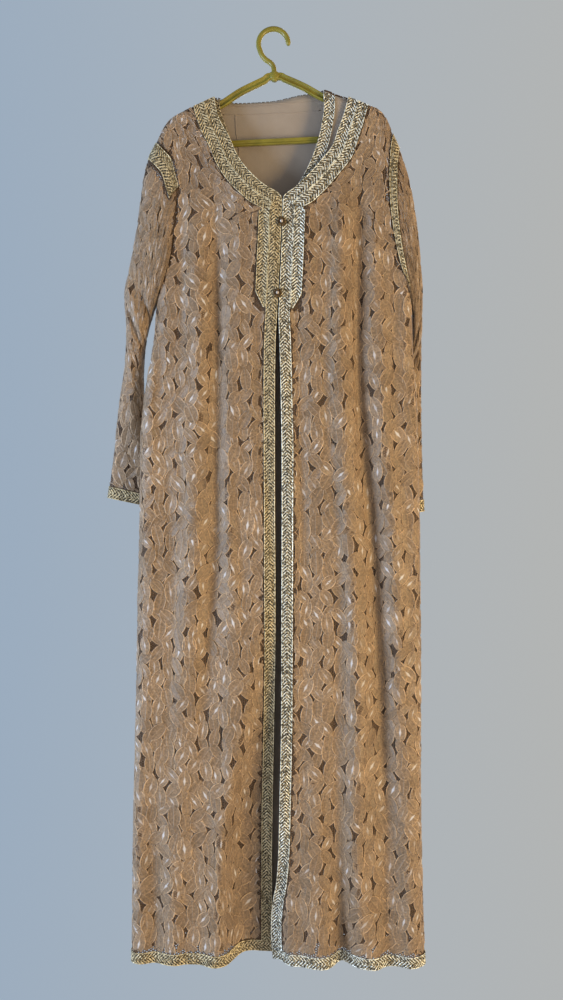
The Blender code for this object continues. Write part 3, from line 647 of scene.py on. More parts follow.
def row_at(surface: Surface, drop: float, column: int) -> float:
    """Fractional row where a column reaches a drop."""
    drops = -surface.points[:, column, 2]
    return float(np.interp(drop, drops, np.arange(len(drops))))


def arc(points: Array, axis: int) -> Array:
    """Length along an axis of a grid, from its start.

    Args:
        points: Grid of points.
        axis: 0 down the grid, 1 across it.

    Returns:
        One length for each point.
    """
    steps = np.linalg.norm(np.diff(points, axis=axis), axis=2)
    lead = np.zeros_like(np.take(steps, [0], axis=axis))
    return np.cumsum(np.concatenate([lead, steps], axis=axis), axis=axis)


def front_surface(part: Part, edge: Table, layer: Layer, step: float, inner: int) -> Surface:
    """Outer face of a front layer, from the side seam to the front edge.

    Args:
        part: Side of the panel.
        edge: The front edge's table.
        layer: Outer cloth or lining.
        step: Distance between points.
        inner: Points across one strip of braid.

    Returns:
        The face, whose last columns lie under the strips of braid.
    """
    sign = 1.0 if part is Part.LEFT else -1.0
    seam = seam_rows(part, step, HEM[part])
    tip, underarm = seam[0, 1], ARMHOLES[part][-1][1]
    drop = seam[:, 1]
    upper = mix(edge.first(), UNDERARM_INNER, (drop - tip) / (underarm - tip))
    share = (drop - underarm) / (HEM[part] - underarm)
    inner_drop = np.where(drop <= underarm, upper, mix(UNDERARM_INNER, HEM[part], share))
    seam = seam + np.array([-sign * layer.inset, SHOULDER_INSET * layer.inset])
    inner_drop = inner_drop + SHOULDER_INSET * layer.inset
    start = np.stack([edge.at(inner_drop, "x"), inner_drop], axis=1)

    above = edge.at(inner_drop - EDGE_SPAN, "x")
    below = edge.at(inner_drop + EDGE_SPAN, "x")
    square = np.stack([np.full_like(above, 2.0 * EDGE_SPAN), above - below], axis=1)
    square *= sign / np.linalg.norm(square, axis=1, keepdims=True)
    outward = seam - start
    outward /= np.linalg.norm(outward, axis=1, keepdims=True)
    turn = ease((inner_drop - edge.first()) / EDGE_TURN)[:, None]
    direction = mix(outward, square, turn)
    direction /= np.linalg.norm(direction, axis=1, keepdims=True)
    direction /= np.maximum(0.5, (direction * square).sum(axis=1, keepdims=True))

    strips = 1 if layer.reach else 2
    offsets = np.linspace(0.0, strips * BRAID_WIDTH, strips * inner + 1)
    strip = start[:, None] + direction[:, None] * offsets[None, :, None]
    base = strip[:, -1]
    length = np.linalg.norm(seam - base, axis=1)
    near = np.array(NEAR_SEAM) / length[:, None]
    count = max(4, round(float(length.max()) / step))
    shares = np.linspace(0.0, 1.0, count + 1)[1:][None] * (1.0 - near[:, :1])
    shares = np.concatenate([shares, 1.0 - near[:, 1:]], axis=1)
    rest = base[:, None] + (seam - base)[:, None] * shares[..., None]
    flat = np.concatenate([strip, rest], axis=1)

    lift = Drape.shoulder(flat[0, :, 0]) + Drape.shoulder_inset(flat[0, :, 0], layer.inset)
    lift -= flat[0, :, 1]
    lift[-1] = 0.0
    fade = np.maximum(0.0, 1.0 - (inner_drop - inner_drop[0]) / SHOULDER_FADE) ** 2
    flat[..., 1] += lift[None] * fade[:, None]
    y = Drape.front(part, flat[..., 0], flat[..., 1], layer)
    points = np.stack([flat[..., 0], y, -flat[..., 1]], axis=2)
    across = arc(points, 1) + (sign * start[:, :1])
    cut = np.stack([sign * across, -flat[..., 1]], axis=2)
    return Surface(points[:, ::-1], cut[:, ::-1], flip=part is Part.RIGHT)


def back_surface(layer: Layer, step: float) -> Surface:
    """Outer face of a back layer, from negative to positive x.

    Args:
        layer: Outer cloth or lining.
        step: Distance between points.

    Returns:
        The face.
    """
    right = seam_rows(Part.RIGHT, step, HEM[Part.RIGHT])
    left = seam_rows(Part.LEFT, step, HEM[Part.LEFT])
    places = np.linspace(0.0, 1.0, len(right))
    keys = np.linspace(0.0, 1.0, len(left))
    split_right = len(refined(np.array(ARMHOLES[Part.RIGHT], float), step)) - 1
    split_left = len(refined(np.array(ARMHOLES[Part.LEFT], float), step)) - 1
    matched = np.concatenate([
        np.linspace(0.0, keys[split_left], split_right + 1),
        np.linspace(keys[split_left], 1.0, len(places) - split_right)[1:],
    ])
    left = np.stack([np.interp(matched, keys, left[:, axis]) for axis in range(2)], axis=1)
    inset = layer.inset
    start = right + np.array([inset, SHOULDER_INSET * inset])
    end = left + np.array([-inset, SHOULDER_INSET * inset])
    length = np.linalg.norm(end - start, axis=1)
    near = np.array(NEAR_SEAM[::-1]) / length[:, None]
    count = round(float(length.max()) / step)
    middle = mix(near[:, -1:], 1.0 - near[:, -1:], np.linspace(0.0, 1.0, count + 1)[None])
    shares = np.concatenate([near[:, :-1], middle, 1.0 - near[:, -2::-1]], axis=1)
    flat = start[:, None] + (end - start)[:, None] * shares[..., None]
    lift = Drape.shoulder(flat[0, :, 0]) + Drape.shoulder_inset(flat[0, :, 0], inset)
    lift -= flat[0, :, 1]
    lift[0] = lift[-1] = 0.0
    fade = np.maximum(0.0, 1.0 - (right[:, 1] - right[0, 1]) / YOKE_FADE) ** 2
    flat[..., 1] += lift[None] * fade[:, None]
    y = Drape.back(flat[..., 0], flat[..., 1], layer)
    points = np.stack([flat[..., 0], y, -flat[..., 1]], axis=2)
    across = arc(points, 1)
    middle_column = across[:, across.shape[1] // 2][:, None]
    cut = np.stack([across - middle_column, -flat[..., 1]], axis=2)
    return Surface(points, cut)


def sleeve_surface(part: Part, step: float) -> Surface:
    """Outer face of a sleeve, ring by ring from the armhole to the cuff, starting underarm.

    Args:
        part: Side of the sleeve.
        step: Distance between points.

    Returns:
        The face, closed round the arm.
    """
    table = SLEEVES[part]
    stations = refined(np.array(ARMHOLES[part], float), step)
    last = table.rows[-1]
    before = table.rows[-2]
    length = math.hypot(last[1] - before[1], last[2] - before[2])
    cuff = 1.0 - CUFF_BRAID / length * (last[0] - before[0])
    rings = round(1.1 * (last[2] - table.rows[0][2]) / step)
    t = np.concatenate([cuff * np.linspace(0.0, 1.0, rings + 1) ** RING_SPREAD,
                        np.linspace(cuff, 1.0, HEM_ROWS + 1)[1:]])
    read = {name: table.at(t, name)[:, None] for name in SLEEVE[1:]}
    first = dict(zip(SLEEVE, table.rows[0]))
    place = ((stations[:, 1] - first["out_drop"]) / (first["in_drop"] - first["out_drop"]))[None]
    bulge = np.maximum(0.0, 1.0 - np.abs(2.0 * place - 1.0) ** SLEEVE_ROUND) ** (1.0 / SLEEVE_ROUND)
    sign = 1.0 if part is Part.LEFT else -1.0
    straight = mix(first["out_x"], first["in_x"], place)
    pulled_x = (stations[:, 0][None] + sign * SEAM_GAP * 1.3 - straight) * read["pull"]
    x = mix(read["out_x"], read["in_x"], place) + pulled_x
    drop = mix(read["out_drop"], read["in_drop"], place)
    middle = mix(read["out_y"], read["in_y"], place)
    halves = []
    for face, depth in ((-1.0, read["front"]), (1.0, read["back"])):
        if face < 0.0:
            seam_y = Drape.front(part, stations[:, 0], stations[:, 1], OUTER)
        else:
            seam_y = Drape.back(stations[:, 0], stations[:, 1], OUTER)
        pulled_y = (seam_y[None] - face * first["front"] * bulge) * read["pull"]
        wave = sleeve_wave(part, t[:, None], place, face) * (1.0 - read["pull"]) * bulge
        y = middle + face * (depth * bulge + wave) + pulled_y
        halves.append(np.stack([x, y, -drop], axis=2))
    front, back = halves
    ring = np.concatenate([front[:, ::-1], back[:, 1:]], axis=1)
    ring[:, 0] = ring[:, -1] = (ring[:, 0] + ring[:, -1]) / 2.0
    around = arc(ring, 1)
    outer_line = around[:, front.shape[1] - 1][:, None]
    along = arc(ring, 0)
    cut = np.stack([around - outer_line, along[-1][None] - along], axis=2)
    return Surface(ring, cut, closed=True, flip=part is Part.LEFT)


def sleeve_wave(part: Part, t: Array, place: Array, face: float) -> Array:
    """Soft creases across a sleeve: the elbow's fold and slow waves along the arm.

    Args:
        part: Side of the sleeve.
        t: Places along the sleeve, from 0 at the armhole to 1 at the cuff.
        place: Places across it, from 0 outside to 1 inside.
        face: -1 for the front, 1 for the back.

    Returns:
        Height of the cloth above its smooth form.
    """
    bend = t - ELBOW[part] - ELBOW_SLANT * place
    fold = -FOLD_DEPTH * np.exp(-(bend / FOLD_WIDTH) ** 2) * (1.0 - 0.3 * place)
    over = ROLL_HEIGHT * np.exp(-((bend + ROLL_AHEAD) / ROLL_WIDTH) ** 2)
    if part is Part.RIGHT:
        crease = np.exp(-((t - CREASE_PLACE + CREASE_SLANT * place) / CREASE_WIDTH) ** 2)
        over = over - CREASE_DEPTH * crease * place ** 1.5
    slow = 0.9 * np.sin(9.0 * place + 3.0 * np.sin(5.0 * t) + face)
    quick = 0.45 * np.sin(17.0 * place - 8.0 * t + 2.0 * face)
    return (fold + over if face < 0.0 else 0.0) + slow + quick


def link_object(name: str, mesh: bpy.types.Mesh) -> bpy.types.Object:
    """New object with a mesh, in the scene.

    Args:
        name: Name of the object.
        mesh: Its mesh.

    Returns:
        The object.
    """
    made = bpy.data.objects.new(name, mesh)
    bpy.context.scene.collection.objects.link(made)
    return made


def mesh_object(name: str, points: Array, faces: Sequence[Sequence[int]],
                corners: Array | None = None, layer: str = "cut") -> bpy.types.Object:
    """Smooth object from points in millimetres.

    Args:
        name: Name of the object.
        points: One row for each vertex.
        faces: Vertex numbers of each face.
        corners: Map coordinates in metres for each vertex.
        layer: Name of the map.

    Returns:
        The object, at the origin.
    """
    mesh = bpy.data.meshes.new(name)
    mesh.from_pydata((points * MM).tolist(), [], faces)
    if corners is not None:
        loops = np.zeros(len(mesh.loops), dtype=np.int32)
        mesh.loops.foreach_get("vertex_index", loops)
        uv = mesh.uv_layers.new(name=layer)
        uv.data.foreach_set("uv", corners[loops].astype(np.float32).ravel())
    mesh.shade_smooth()
    return link_object(name, mesh)


def grid_faces(height: int, width: int, flip: bool, mask: Array | None = None) -> list[list[int]]:
    """Quads of a grid of points.

    Args:
        height: Rows of points.
        width: Points in a row.
        flip: True where the outer side is the other one.
        mask: True for each quad to leave out.

    Returns:
        Vertex numbers of each quad.
    """
    i, j = np.meshgrid(np.arange(height - 1), np.arange(width - 1), indexing="ij")
    keep = np.ones(i.shape, bool) if mask is None else ~mask
    i, j = i[keep], j[keep]
    a, b = i * width + j, i * width + j + 1
    c, d = (i + 1) * width + j + 1, (i + 1) * width + j
    order = (d, c, b, a) if flip else (a, b, c, d)
    return np.stack(order, axis=1).tolist()


def face_object(name: str, surface: Surface, mask: Array | None = None) -> bpy.types.Object:
    """One-sided object of a surface, for laying pieces on it.

    Args:
        name: Name of the object.
        surface: Face to show.
        mask: True for each quad to leave out.

    Returns:
        The object.
    """
    height, width = surface.points.shape[:2]
    faces = grid_faces(height, width, surface.flip, mask)
    return mesh_object(name, surface.points.reshape(-1, 3), faces,
                       surface.cut.reshape(-1, 2) * MM)


def wall_object(name: str, surface: Surface, wall: float) -> bpy.types.Object:
    """Closed thin shell of cloth whose outer face is the surface.

    Args:
        name: Name of the object.
        surface: Outer face.
        wall: Thickness inwards.

    Returns:
        The shell.
    """
    height, width = surface.points.shape[:2]
    inner = surface.moved(-wall).points
    count = height * width
    points = np.concatenate([surface.points.reshape(-1, 3), inner.reshape(-1, 3)])
    cut = np.concatenate([surface.cut.reshape(-1, 2)] * 2) * MM
    faces = grid_faces(height, width, surface.flip)
    faces += [[index + count for index in face[::-1]] for face in faces]
    numbers = np.arange(count).reshape(height, width)
    rims = [numbers[0, ::-1], numbers[-1]]
    if not surface.closed:
        rims += [numbers[:, 0], numbers[::-1, -1]]
    for rim in rims:
        for a, b in zip(rim[:-1].tolist(), rim[1:].tolist()):
            face = [a, b, b + count, a + count]
            faces.append(face[::-1] if surface.flip else face)
    made = mesh_object(name, points, faces, cut)
    if surface.closed:
        weld(made)
    return made


@contextmanager
def edited(made: bpy.types.Object) -> Iterator[bmesh.types.BMesh]:
    """Open an object's mesh for editing, and write it back afterwards.

    Args:
        made: Object whose mesh is edited.

    Yields:
        The mesh in its editable form.
    """
    build = bmesh.new()
    build.from_mesh(made.data)
    yield build
    build.to_mesh(made.data)
    build.free()


def weld(made: bpy.types.Object) -> None:
    """Join the two edges of a tube's mesh where they meet."""
    with edited(made) as build:
        bmesh.ops.remove_doubles(build, verts=build.verts, dist=0.02 * MM)


class Graph:
    """A node tree built node by node."""

    def __init__(self, tree: bpy.types.NodeTree) -> None:
        """Keep the tree."""
        self.tree = tree

    def add(self, kind: str, values: dict | None = None, **settings: object) -> bpy.types.Node:
        """New node.

        Args:
            kind: Node type.
            values: Constant or linked socket for inputs, by name or number.
            settings: Properties of the node.

        Returns:
            The node.
        """
        node = self.tree.nodes.new(kind)
        for name, value in settings.items():
            setattr(node, name, value)
        for key, value in (values or {}).items():
            if isinstance(value, bpy.types.NodeSocket):
                self.tree.links.new(value, node.inputs[key])
            else:
                node.inputs[key].default_value = value
        return node

    def math(self, operation: str, *values: object) -> bpy.types.NodeSocket:
        """Result of a math node."""
        node = self.add("ShaderNodeMath", dict(enumerate(values)), operation=operation)
        return node.outputs[0]

    def vector(self, operation: str, *values: object) -> bpy.types.NodeSocket:
        """Result of a vector math node.

        Args:
            operation: What the node works out.
            values: Constants or linked sockets, in order.

        Returns:
            The result.
        """
        places = {3 if operation == "SCALE" and index else index: value
                  for index, value in enumerate(values)}
        node = self.add("ShaderNodeVectorMath", places, operation=operation)
        return node.outputs[1 if operation in ("LENGTH", "DOT_PRODUCT") else 0]

    def random(self, low: float, high: float, seed: object) -> bpy.types.NodeSocket:
        """Random number for each element."""
        node = self.add("FunctionNodeRandomValue", {2: low, 3: high, 8: seed}, data_type="FLOAT")
        return node.outputs[1]

    def axes(self, x: object = 0.0, y: object = 0.0, z: object = 0.0) -> bpy.types.NodeSocket:
        """Vector made of three numbers."""
        return self.add("ShaderNodeCombineXYZ", {0: x, 1: y, 2: z}).outputs[0]

    def position(self) -> bpy.types.Node:
        """Place of each point, taken apart into three numbers."""
        place = self.add("GeometryNodeInputPosition").outputs[0]
        return self.add("ShaderNodeSeparateXYZ", {0: place})

    def mapped(self, value: object, low: float, high: float, start: float = 0.0,
               end: float = 1.0) -> bpy.types.NodeSocket:
        """Number that goes from start to end while value goes from low to high."""
        places = {0: value, 1: low, 2: high, 3: start, 4: end}
        return self.add("ShaderNodeMapRange", places).outputs[0]

    def noise(self, place: object, scale: float, detail: float,
              roughness: float = 0.5) -> bpy.types.NodeSocket:
        """Uneven number from 0 to 1 over a place."""
        values = {"Vector": place, "Scale": scale, "Detail": detail, "Roughness": roughness}
        return self.add("ShaderNodeTexNoise", values).outputs[0]

    def inlet(self, name: str, kind: str) -> None:
        """Named input of the tree."""
        self.tree.interface.new_socket(name=name, in_out="INPUT", socket_type=kind)

    def outlet(self, name: str, kind: str) -> None:
        """Named output of the tree."""
        self.tree.interface.new_socket(name=name, in_out="OUTPUT", socket_type=kind)


def geometry_graph(name: str, inlets: dict[str, str]) -> tuple[Graph, bpy.types.Node]:
    """New geometry tree with its inputs.

    Args:
        name: Name of the tree.
        inlets: Socket type of each named input.

    Returns:
        The graph and its group input node.
    """
    graph = Graph(bpy.data.node_groups.new(name, "GeometryNodeTree"))
    graph.inlet("Cloth", "NodeSocketGeometry")
    for label, kind in inlets.items():
        graph.inlet(label, kind)
    graph.outlet("Pieces", "NodeSocketGeometry")
    return graph, graph.add("NodeGroupInput")


def laid_on_cloth(graph: Graph, cloth: bpy.types.NodeSocket, pieces: bpy.types.NodeSocket,
                  height: bpy.types.NodeSocket) -> bpy.types.NodeSocket:
    """Wrap flat geometry on the cloth: x and y are its place in the cut.

    Args:
        graph: Tree to extend.
        cloth: Geometry with the "cut" map.
        pieces: Flat geometry.
        height: Distance of each point from the cloth.

    Returns:
        The wrapped geometry, without the points that lie off the cloth.
    """
    place = graph.add("GeometryNodeInputPosition").outputs[0]
    flat = graph.vector("MULTIPLY", place, (1.0, 1.0, 0.0))
    cut = graph.add("GeometryNodeInputNamedAttribute", {0: "cut"}, data_type="FLOAT_VECTOR")
    readings = []
    for source in ("GeometryNodeInputPosition", "GeometryNodeInputNormal"):
        reading = graph.add(source).outputs[0]
        readings.append(graph.add("GeometryNodeSampleUVSurface", {
            0: cloth, 1: reading, 2: cut.outputs[0], 3: flat}, data_type="FLOAT_VECTOR"))
    off = graph.add("FunctionNodeBooleanMath", {0: readings[0].outputs[1]}, operation="NOT")
    kept = graph.add("GeometryNodeDeleteGeometry", {0: pieces, 1: off.outputs[0]}, domain="POINT")
    out = graph.vector("ADD", readings[0].outputs[0],
                       graph.vector("SCALE", readings[1].outputs[0], height))
    return graph.add("GeometryNodeSetPosition", {0: kept.outputs[0], 2: out}).outputs[0]


def leaf_tree() -> bpy.types.NodeTree:
    """Tree that lays rows of leaves on cloth, in turn to each side.

    Returns:
        The tree.
    """
    graph, given = geometry_graph("lay_leaves", {
        "Leaf": "NodeSocketObject", "Low": "NodeSocketVector", "Columns": "NodeSocketInt",
        "Rows": "NodeSocketInt", "Pitch": "NodeSocketFloat", "Spacing": "NodeSocketFloat",
        "Turn": "NodeSocketFloat", "Jitter": "NodeSocketFloat", "Seed": "NodeSocketInt",
        "Finish": "NodeSocketMaterial",
    })
    out = given.outputs
    columns, rows = out["Columns"], out["Rows"]
    width = graph.math("MULTIPLY", out["Pitch"], graph.math("SUBTRACT", columns, 1.0))
    height = graph.math("MULTIPLY", out["Spacing"], graph.math("SUBTRACT", rows, 1.0))
    grid = graph.add("GeometryNodeMeshGrid", {0: width, 1: height, 2: columns, 3: rows})
    index = graph.add("GeometryNodeInputIndex").outputs[0]
    column = graph.math("FLOOR", graph.math("DIVIDE", graph.math("ADD", index, 0.5), rows))
    row = graph.math("SUBTRACT", index, graph.math("MULTIPLY", column, rows))
    odd = graph.math("MODULO", column, 2.0)
    side = graph.math("MODULO", graph.math("ADD", row, column), 2.0)
    sign = graph.math("SUBTRACT", graph.math("MULTIPLY", side, 2.0), 1.0)
    seed = out["Seed"]
    centre = graph.vector("SCALE", graph.axes(width, height), 0.5)
    shift_x = graph.math("MULTIPLY", graph.random(-1.0, 1.0, seed), out["Jitter"])
    shift_y = graph.math("MULTIPLY", graph.random(-1.0, 1.0, graph.math("ADD", seed, 1.0)), out["Jitter"])
    lean = graph.math("MULTIPLY", sign, graph.math("MULTIPLY", out["Jitter"], -0.6))
    step = graph.math("MULTIPLY", odd, graph.math("MULTIPLY", out["Spacing"], 0.5))
    layer = graph.random(0.0, 0.0009, graph.math("ADD", seed, 6.0))
    jitter = graph.axes(graph.math("ADD", shift_x, lean), graph.math("ADD", shift_y, step), layer)
    offset = graph.vector("ADD", graph.vector("ADD", out["Low"], centre), jitter)
    points = graph.add("GeometryNodeSetPosition", {0: grid.outputs[0], 3: offset})
    angle = graph.math("ADD", graph.math("MULTIPLY", sign, out["Turn"]),
                       graph.random(-0.42, 0.42, graph.math("ADD", seed, 2.0)))
    turn = graph.axes(z=angle)
    size = graph.random(0.86, 1.14, graph.math("ADD", seed, 3.0))
    slim = graph.math("MULTIPLY", size, graph.random(0.84, 1.16, graph.math("ADD", seed, 4.0)))
    scale = graph.axes(slim, size, 1.0)
    leaf = graph.add("GeometryNodeObjectInfo", {0: out["Leaf"]})
    placed = graph.add("GeometryNodeInstanceOnPoints", {
        0: points.outputs[0], 2: leaf.outputs["Geometry"], 5: turn, 6: scale})
    toned = graph.add("GeometryNodeStoreNamedAttribute", {
        0: placed.outputs[0], 2: "tone", 3: graph.random(0.0, 1.0, graph.math("ADD", seed, 5.0))},
        data_type="FLOAT", domain="INSTANCE")
    real = graph.add("GeometryNodeRealizeInstances", {0: toned.outputs[0]})
    depth = graph.position()
    laid = laid_on_cloth(graph, out["Cloth"], real.outputs[0], depth.outputs[2])
    finish = graph.add("GeometryNodeSetMaterial", {0: laid, 2: out["Finish"]})
    graph.add("NodeGroupOutput", {0: finish.outputs[0]})
    return graph.tree


def thread_tree() -> bpy.types.NodeTree:
    """Tree that weaves slanting threads over a strip of braid, with a cord along each edge.

    Returns:
        The tree.
    """
    graph, given = geometry_graph("weave_braid", {
        "Thread": "NodeSocketObject", "Count": "NodeSocketInt", "Pitch": "NodeSocketFloat",
        "Width": "NodeSocketFloat", "Slant": "NodeSocketFloat", "Thickness": "NodeSocketFloat",
        "Swell": "NodeSocketFloat", "Waves": "NodeSocketFloat", "Cord": "NodeSocketFloat",
        "Steps": "NodeSocketInt", "Length": "NodeSocketFloat", "Finish": "NodeSocketMaterial",
    })
    out = given.outputs
    start = graph.axes(y=graph.math("MULTIPLY", out["Pitch"], -2.0))
    offset = graph.axes(y=out["Pitch"])
    line = graph.add("GeometryNodeMeshLine", {"Count": out["Count"], "Start Location": start,
                                              "Offset": offset})
    thread = graph.add("GeometryNodeObjectInfo", {0: out["Thread"]})
    placed = graph.add("GeometryNodeInstanceOnPoints", {0: line.outputs[0],
                                                        2: thread.outputs["Geometry"]})
    index = graph.add("GeometryNodeInputIndex").outputs[0]
    phased = graph.add("GeometryNodeStoreNamedAttribute", {0: placed.outputs[0], 2: "turn", 3: index},
                       data_type="FLOAT", domain="INSTANCE")
    real = graph.add("GeometryNodeRealizeInstances", {0: phased.outputs[0]})
    spot = graph.position()
    across = graph.math("MULTIPLY", spot.outputs[0], out["Width"])
    off_middle = graph.math("ABSOLUTE", graph.math("SUBTRACT", spot.outputs[0], 0.5))
    slant = graph.math("MULTIPLY", graph.math("MULTIPLY", off_middle, out["Width"]), out["Slant"])
    along = graph.math("ADD", spot.outputs[1], slant)
    along = graph.math("MINIMUM", graph.math("MAXIMUM", along, THREAD_MARGIN),
                       graph.math("SUBTRACT", out["Length"], THREAD_MARGIN))
    turn = graph.add("GeometryNodeInputNamedAttribute", {0: "turn"}, data_type="FLOAT").outputs[0]
    wave = graph.math("SINE", graph.math("MULTIPLY", FULL_TURN, graph.math(
        "ADD", graph.math("MULTIPLY", spot.outputs[0], out["Waves"]), graph.math("MULTIPLY", turn, 0.5))))
    height = graph.math("ADD", graph.math("MULTIPLY", spot.outputs[2], out["Thickness"]),
                        graph.math("MULTIPLY", wave, out["Swell"]))
    flat = graph.axes(across, along, height)
    shaped = graph.add("GeometryNodeSetPosition", {0: real.outputs[0], 2: flat})
    depth = graph.position()
    woven = laid_on_cloth(graph, out["Cloth"], shaped.outputs[0], depth.outputs[2])
    pieces = [woven]
    for share in (0.0, 1.0):
        inward = graph.math("MULTIPLY", out["Cord"], 0.9 if share == 0.0 else -0.9)
        place = graph.math("ADD", graph.math("MULTIPLY", out["Width"], share), inward)
        first = graph.axes(place, CORD_MARGIN)
        stride = graph.math("DIVIDE", graph.math("SUBTRACT", out["Length"], 2.0 * CORD_MARGIN),
                            graph.math("SUBTRACT", out["Steps"], 1.0))
        edge = graph.add("GeometryNodeMeshLine", {
            "Count": out["Steps"], "Start Location": first,
            "Offset": graph.axes(y=stride)})
        laid = laid_on_cloth(graph, out["Cloth"], edge.outputs[0], graph.math("MULTIPLY", out["Cord"], 0.35))
        curve = graph.add("GeometryNodeMeshToCurve", {0: laid})
        circle = graph.add("GeometryNodeCurvePrimitiveCircle", {"Resolution": 6, "Radius": out["Cord"]})
        tube = graph.add("GeometryNodeCurveToMesh", {
            0: curve.outputs[0], 1: circle.outputs[0], "Fill Caps": True})
        smooth = graph.add("GeometryNodeSetShadeSmooth", {0: tube.outputs[0]})
        pieces.append(smooth.outputs[0])
    joined = graph.add("GeometryNodeJoinGeometry")
    for piece in pieces:
        graph.tree.links.new(piece, joined.inputs[0])
    finish = graph.add("GeometryNodeSetMaterial", {0: joined.outputs[0], 2: out["Finish"]})
    graph.add("NodeGroupOutput", {0: finish.outputs[0]})
    return graph.tree


def run_tree(name: str, host: bpy.types.Object, tree: bpy.types.NodeTree,
             values: dict[str, object]) -> bpy.types.Object:
    """Run a geometry tree on a host and keep its result as a plain mesh.

    Args:
        name: Name of the new piece.
        host: Object whose mesh the tree reads; it is removed.
        tree: The geometry tree.
        values: Value of each named input.

    Returns:
        The new piece.
    """
    modifier = host.modifiers.new("pieces", "NODES")
    modifier.node_group = tree
    names = {item.name: item.identifier for item in tree.interface.items_tree
             if item.item_type == "SOCKET" and item.in_out == "INPUT"}
    for key, value in values.items():
        modifier[names[key]] = value
    graph = bpy.context.evaluated_depsgraph_get()
    mesh = bpy.data.meshes.new_from_object(host.evaluated_get(graph))
    bpy.data.objects.remove(host)
    mesh.name = name
    return link_object(name, mesh)


class Group(Enum):
    """Shared shader groups."""

    NET = "net_holes"
    WEAVE = "plain_weave"
    SPREAD = "uneven_tone"


def shader_group(name: str, inlets: dict[str, str], outlet: str) -> tuple[Graph, bpy.types.Node]:
    """New shader group with named inputs and one output.

    Args:
        name: Name of the group.
        inlets: Socket type of each input.
        outlet: Name of the output.

    Returns:
        The graph and its group input node.
    """
    graph = Graph(bpy.data.node_groups.new(name, "ShaderNodeTree"))
    for label, kind in inlets.items():
        graph.inlet(label, kind)
    graph.outlet(outlet, "NodeSocketFloat")
    return graph, graph.add("NodeGroupInput")


def net_group() -> None:
    """Round holes of a six-sided net: 1 in a hole, 0 on a thread."""
    graph, given = shader_group(Group.NET.value, {"Place": "NodeSocketVector",
                                                 "Pitch": "NodeSocketFloat"}, "Hole")
    scaled = graph.vector("SCALE", given.outputs["Place"],
                          graph.math("DIVIDE", 2.0 * math.pi, given.outputs["Pitch"]))
    total: object = 0.0
    for angle in (0.0, 60.0, 120.0):
        turn = math.radians(angle)
        along = graph.vector("DOT_PRODUCT", scaled, (math.cos(turn), math.sin(turn), 0.0))
        total = graph.math("ADD", graph.math("COSINE", along), total)
    graph.add("NodeGroupOutput", {0: graph.mapped(total, -0.15, 0.45)})


def weave_group() -> None:
    """Height of a plain weave, from 0 to 1."""
    graph, given = shader_group(Group.WEAVE.value, {"Place": "NodeSocketVector",
                                                   "Pitch": "NodeSocketFloat"}, "Height")
    spot = graph.add("ShaderNodeSeparateXYZ", {0: graph.vector(
        "SCALE", given.outputs["Place"], graph.math("DIVIDE", math.pi, given.outputs["Pitch"]))})
    waves = graph.math("MULTIPLY", graph.math("SINE", spot.outputs[0]),
                       graph.math("SINE", spot.outputs[1]))
    ribs = graph.math("ABSOLUTE", graph.math("SINE", spot.outputs[0]))
    height = graph.math("ADD", graph.math("MULTIPLY", waves, 0.35), graph.math("MULTIPLY", ribs, 0.5))
    graph.add("NodeGroupOutput", {0: height})


def spread_group() -> None:
    """Uneven tone of dyed and handled cloth, about 1."""
    graph, given = shader_group(Group.SPREAD.value, {
        "Place": "NodeSocketVector", "Size": "NodeSocketFloat", "Amount": "NodeSocketFloat"}, "Tone")
    place = graph.vector("SCALE", given.outputs["Place"],
                         graph.math("DIVIDE", 1.0, given.outputs["Size"]))
    centred = graph.math("SUBTRACT", graph.noise(place, 1.0, 4.0, 0.6), 0.5)
    tone = graph.math("ADD", 1.0, graph.math("MULTIPLY", centred, given.outputs["Amount"]))
    graph.add("NodeGroupOutput", {0: tone})


@dataclass(frozen=True)
class Finish:
    """A finish's plain values; the rest of it comes from its nodes."""

    name: str
    colour: tuple[float, float, float]
    roughness: float = 0.5
    metallic: float = 0.0
    sheen: float = 0.0
    sheen_tint: tuple[float, float, float] = (1.0, 1.0, 1.0)
    specular: float = 0.5
    coat: float = 0.0

    def start(self) -> tuple[bpy.types.Material, Graph, bpy.types.Node]:
        """New material with its plain values set.

        Returns:
            The material, its graph and its shader.
        """
        material = bpy.data.materials.new(self.name)
        material.use_nodes = True
        graph = Graph(material.node_tree)
        shader = material.node_tree.nodes["Principled BSDF"]
        shader.inputs["Base Color"].default_value = (*self.colour, 1.0)
        shader.inputs["Roughness"].default_value = self.roughness
        shader.inputs["Metallic"].default_value = self.metallic
        shader.inputs["Sheen Weight"].default_value = self.sheen
        shader.inputs["Sheen Tint"].default_value = (*self.sheen_tint, 1.0)
        shader.inputs["Specular IOR Level"].default_value = self.specular
        shader.inputs["Coat Weight"].default_value = self.coat
        return material, graph, shader


def group_node(graph: Graph, group: Group, values: dict) -> bpy.types.NodeSocket:
    """Output of a shared group placed in a material.

    Args:
        graph: The material's graph.
        group: Which group.
        values: Inputs by name.

    Returns:
        The group's output.
    """
    tree = bpy.data.node_groups[group.value]
    return graph.add("ShaderNodeGroup", values, node_tree=tree).outputs[0]


def ramp(graph: Graph, factor: bpy.types.NodeSocket,
         stops: Sequence[tuple[float, tuple[float, float, float]]]) -> bpy.types.NodeSocket:
    """Colour read from a ramp.

    Args:
        graph: The material's graph.
        factor: Place along the ramp.
        stops: Place and colour of each stop.

    Returns:
        The colour.
    """
    node = graph.add("ShaderNodeValToRGB", {0: factor})
    band = node.color_ramp
    while len(band.elements) < len(stops):
        band.elements.new(0.5)
    for element, (place, colour) in zip(band.elements, stops):
        element.position = place
        element.color = (*colour, 1.0)
    return node.outputs[0]


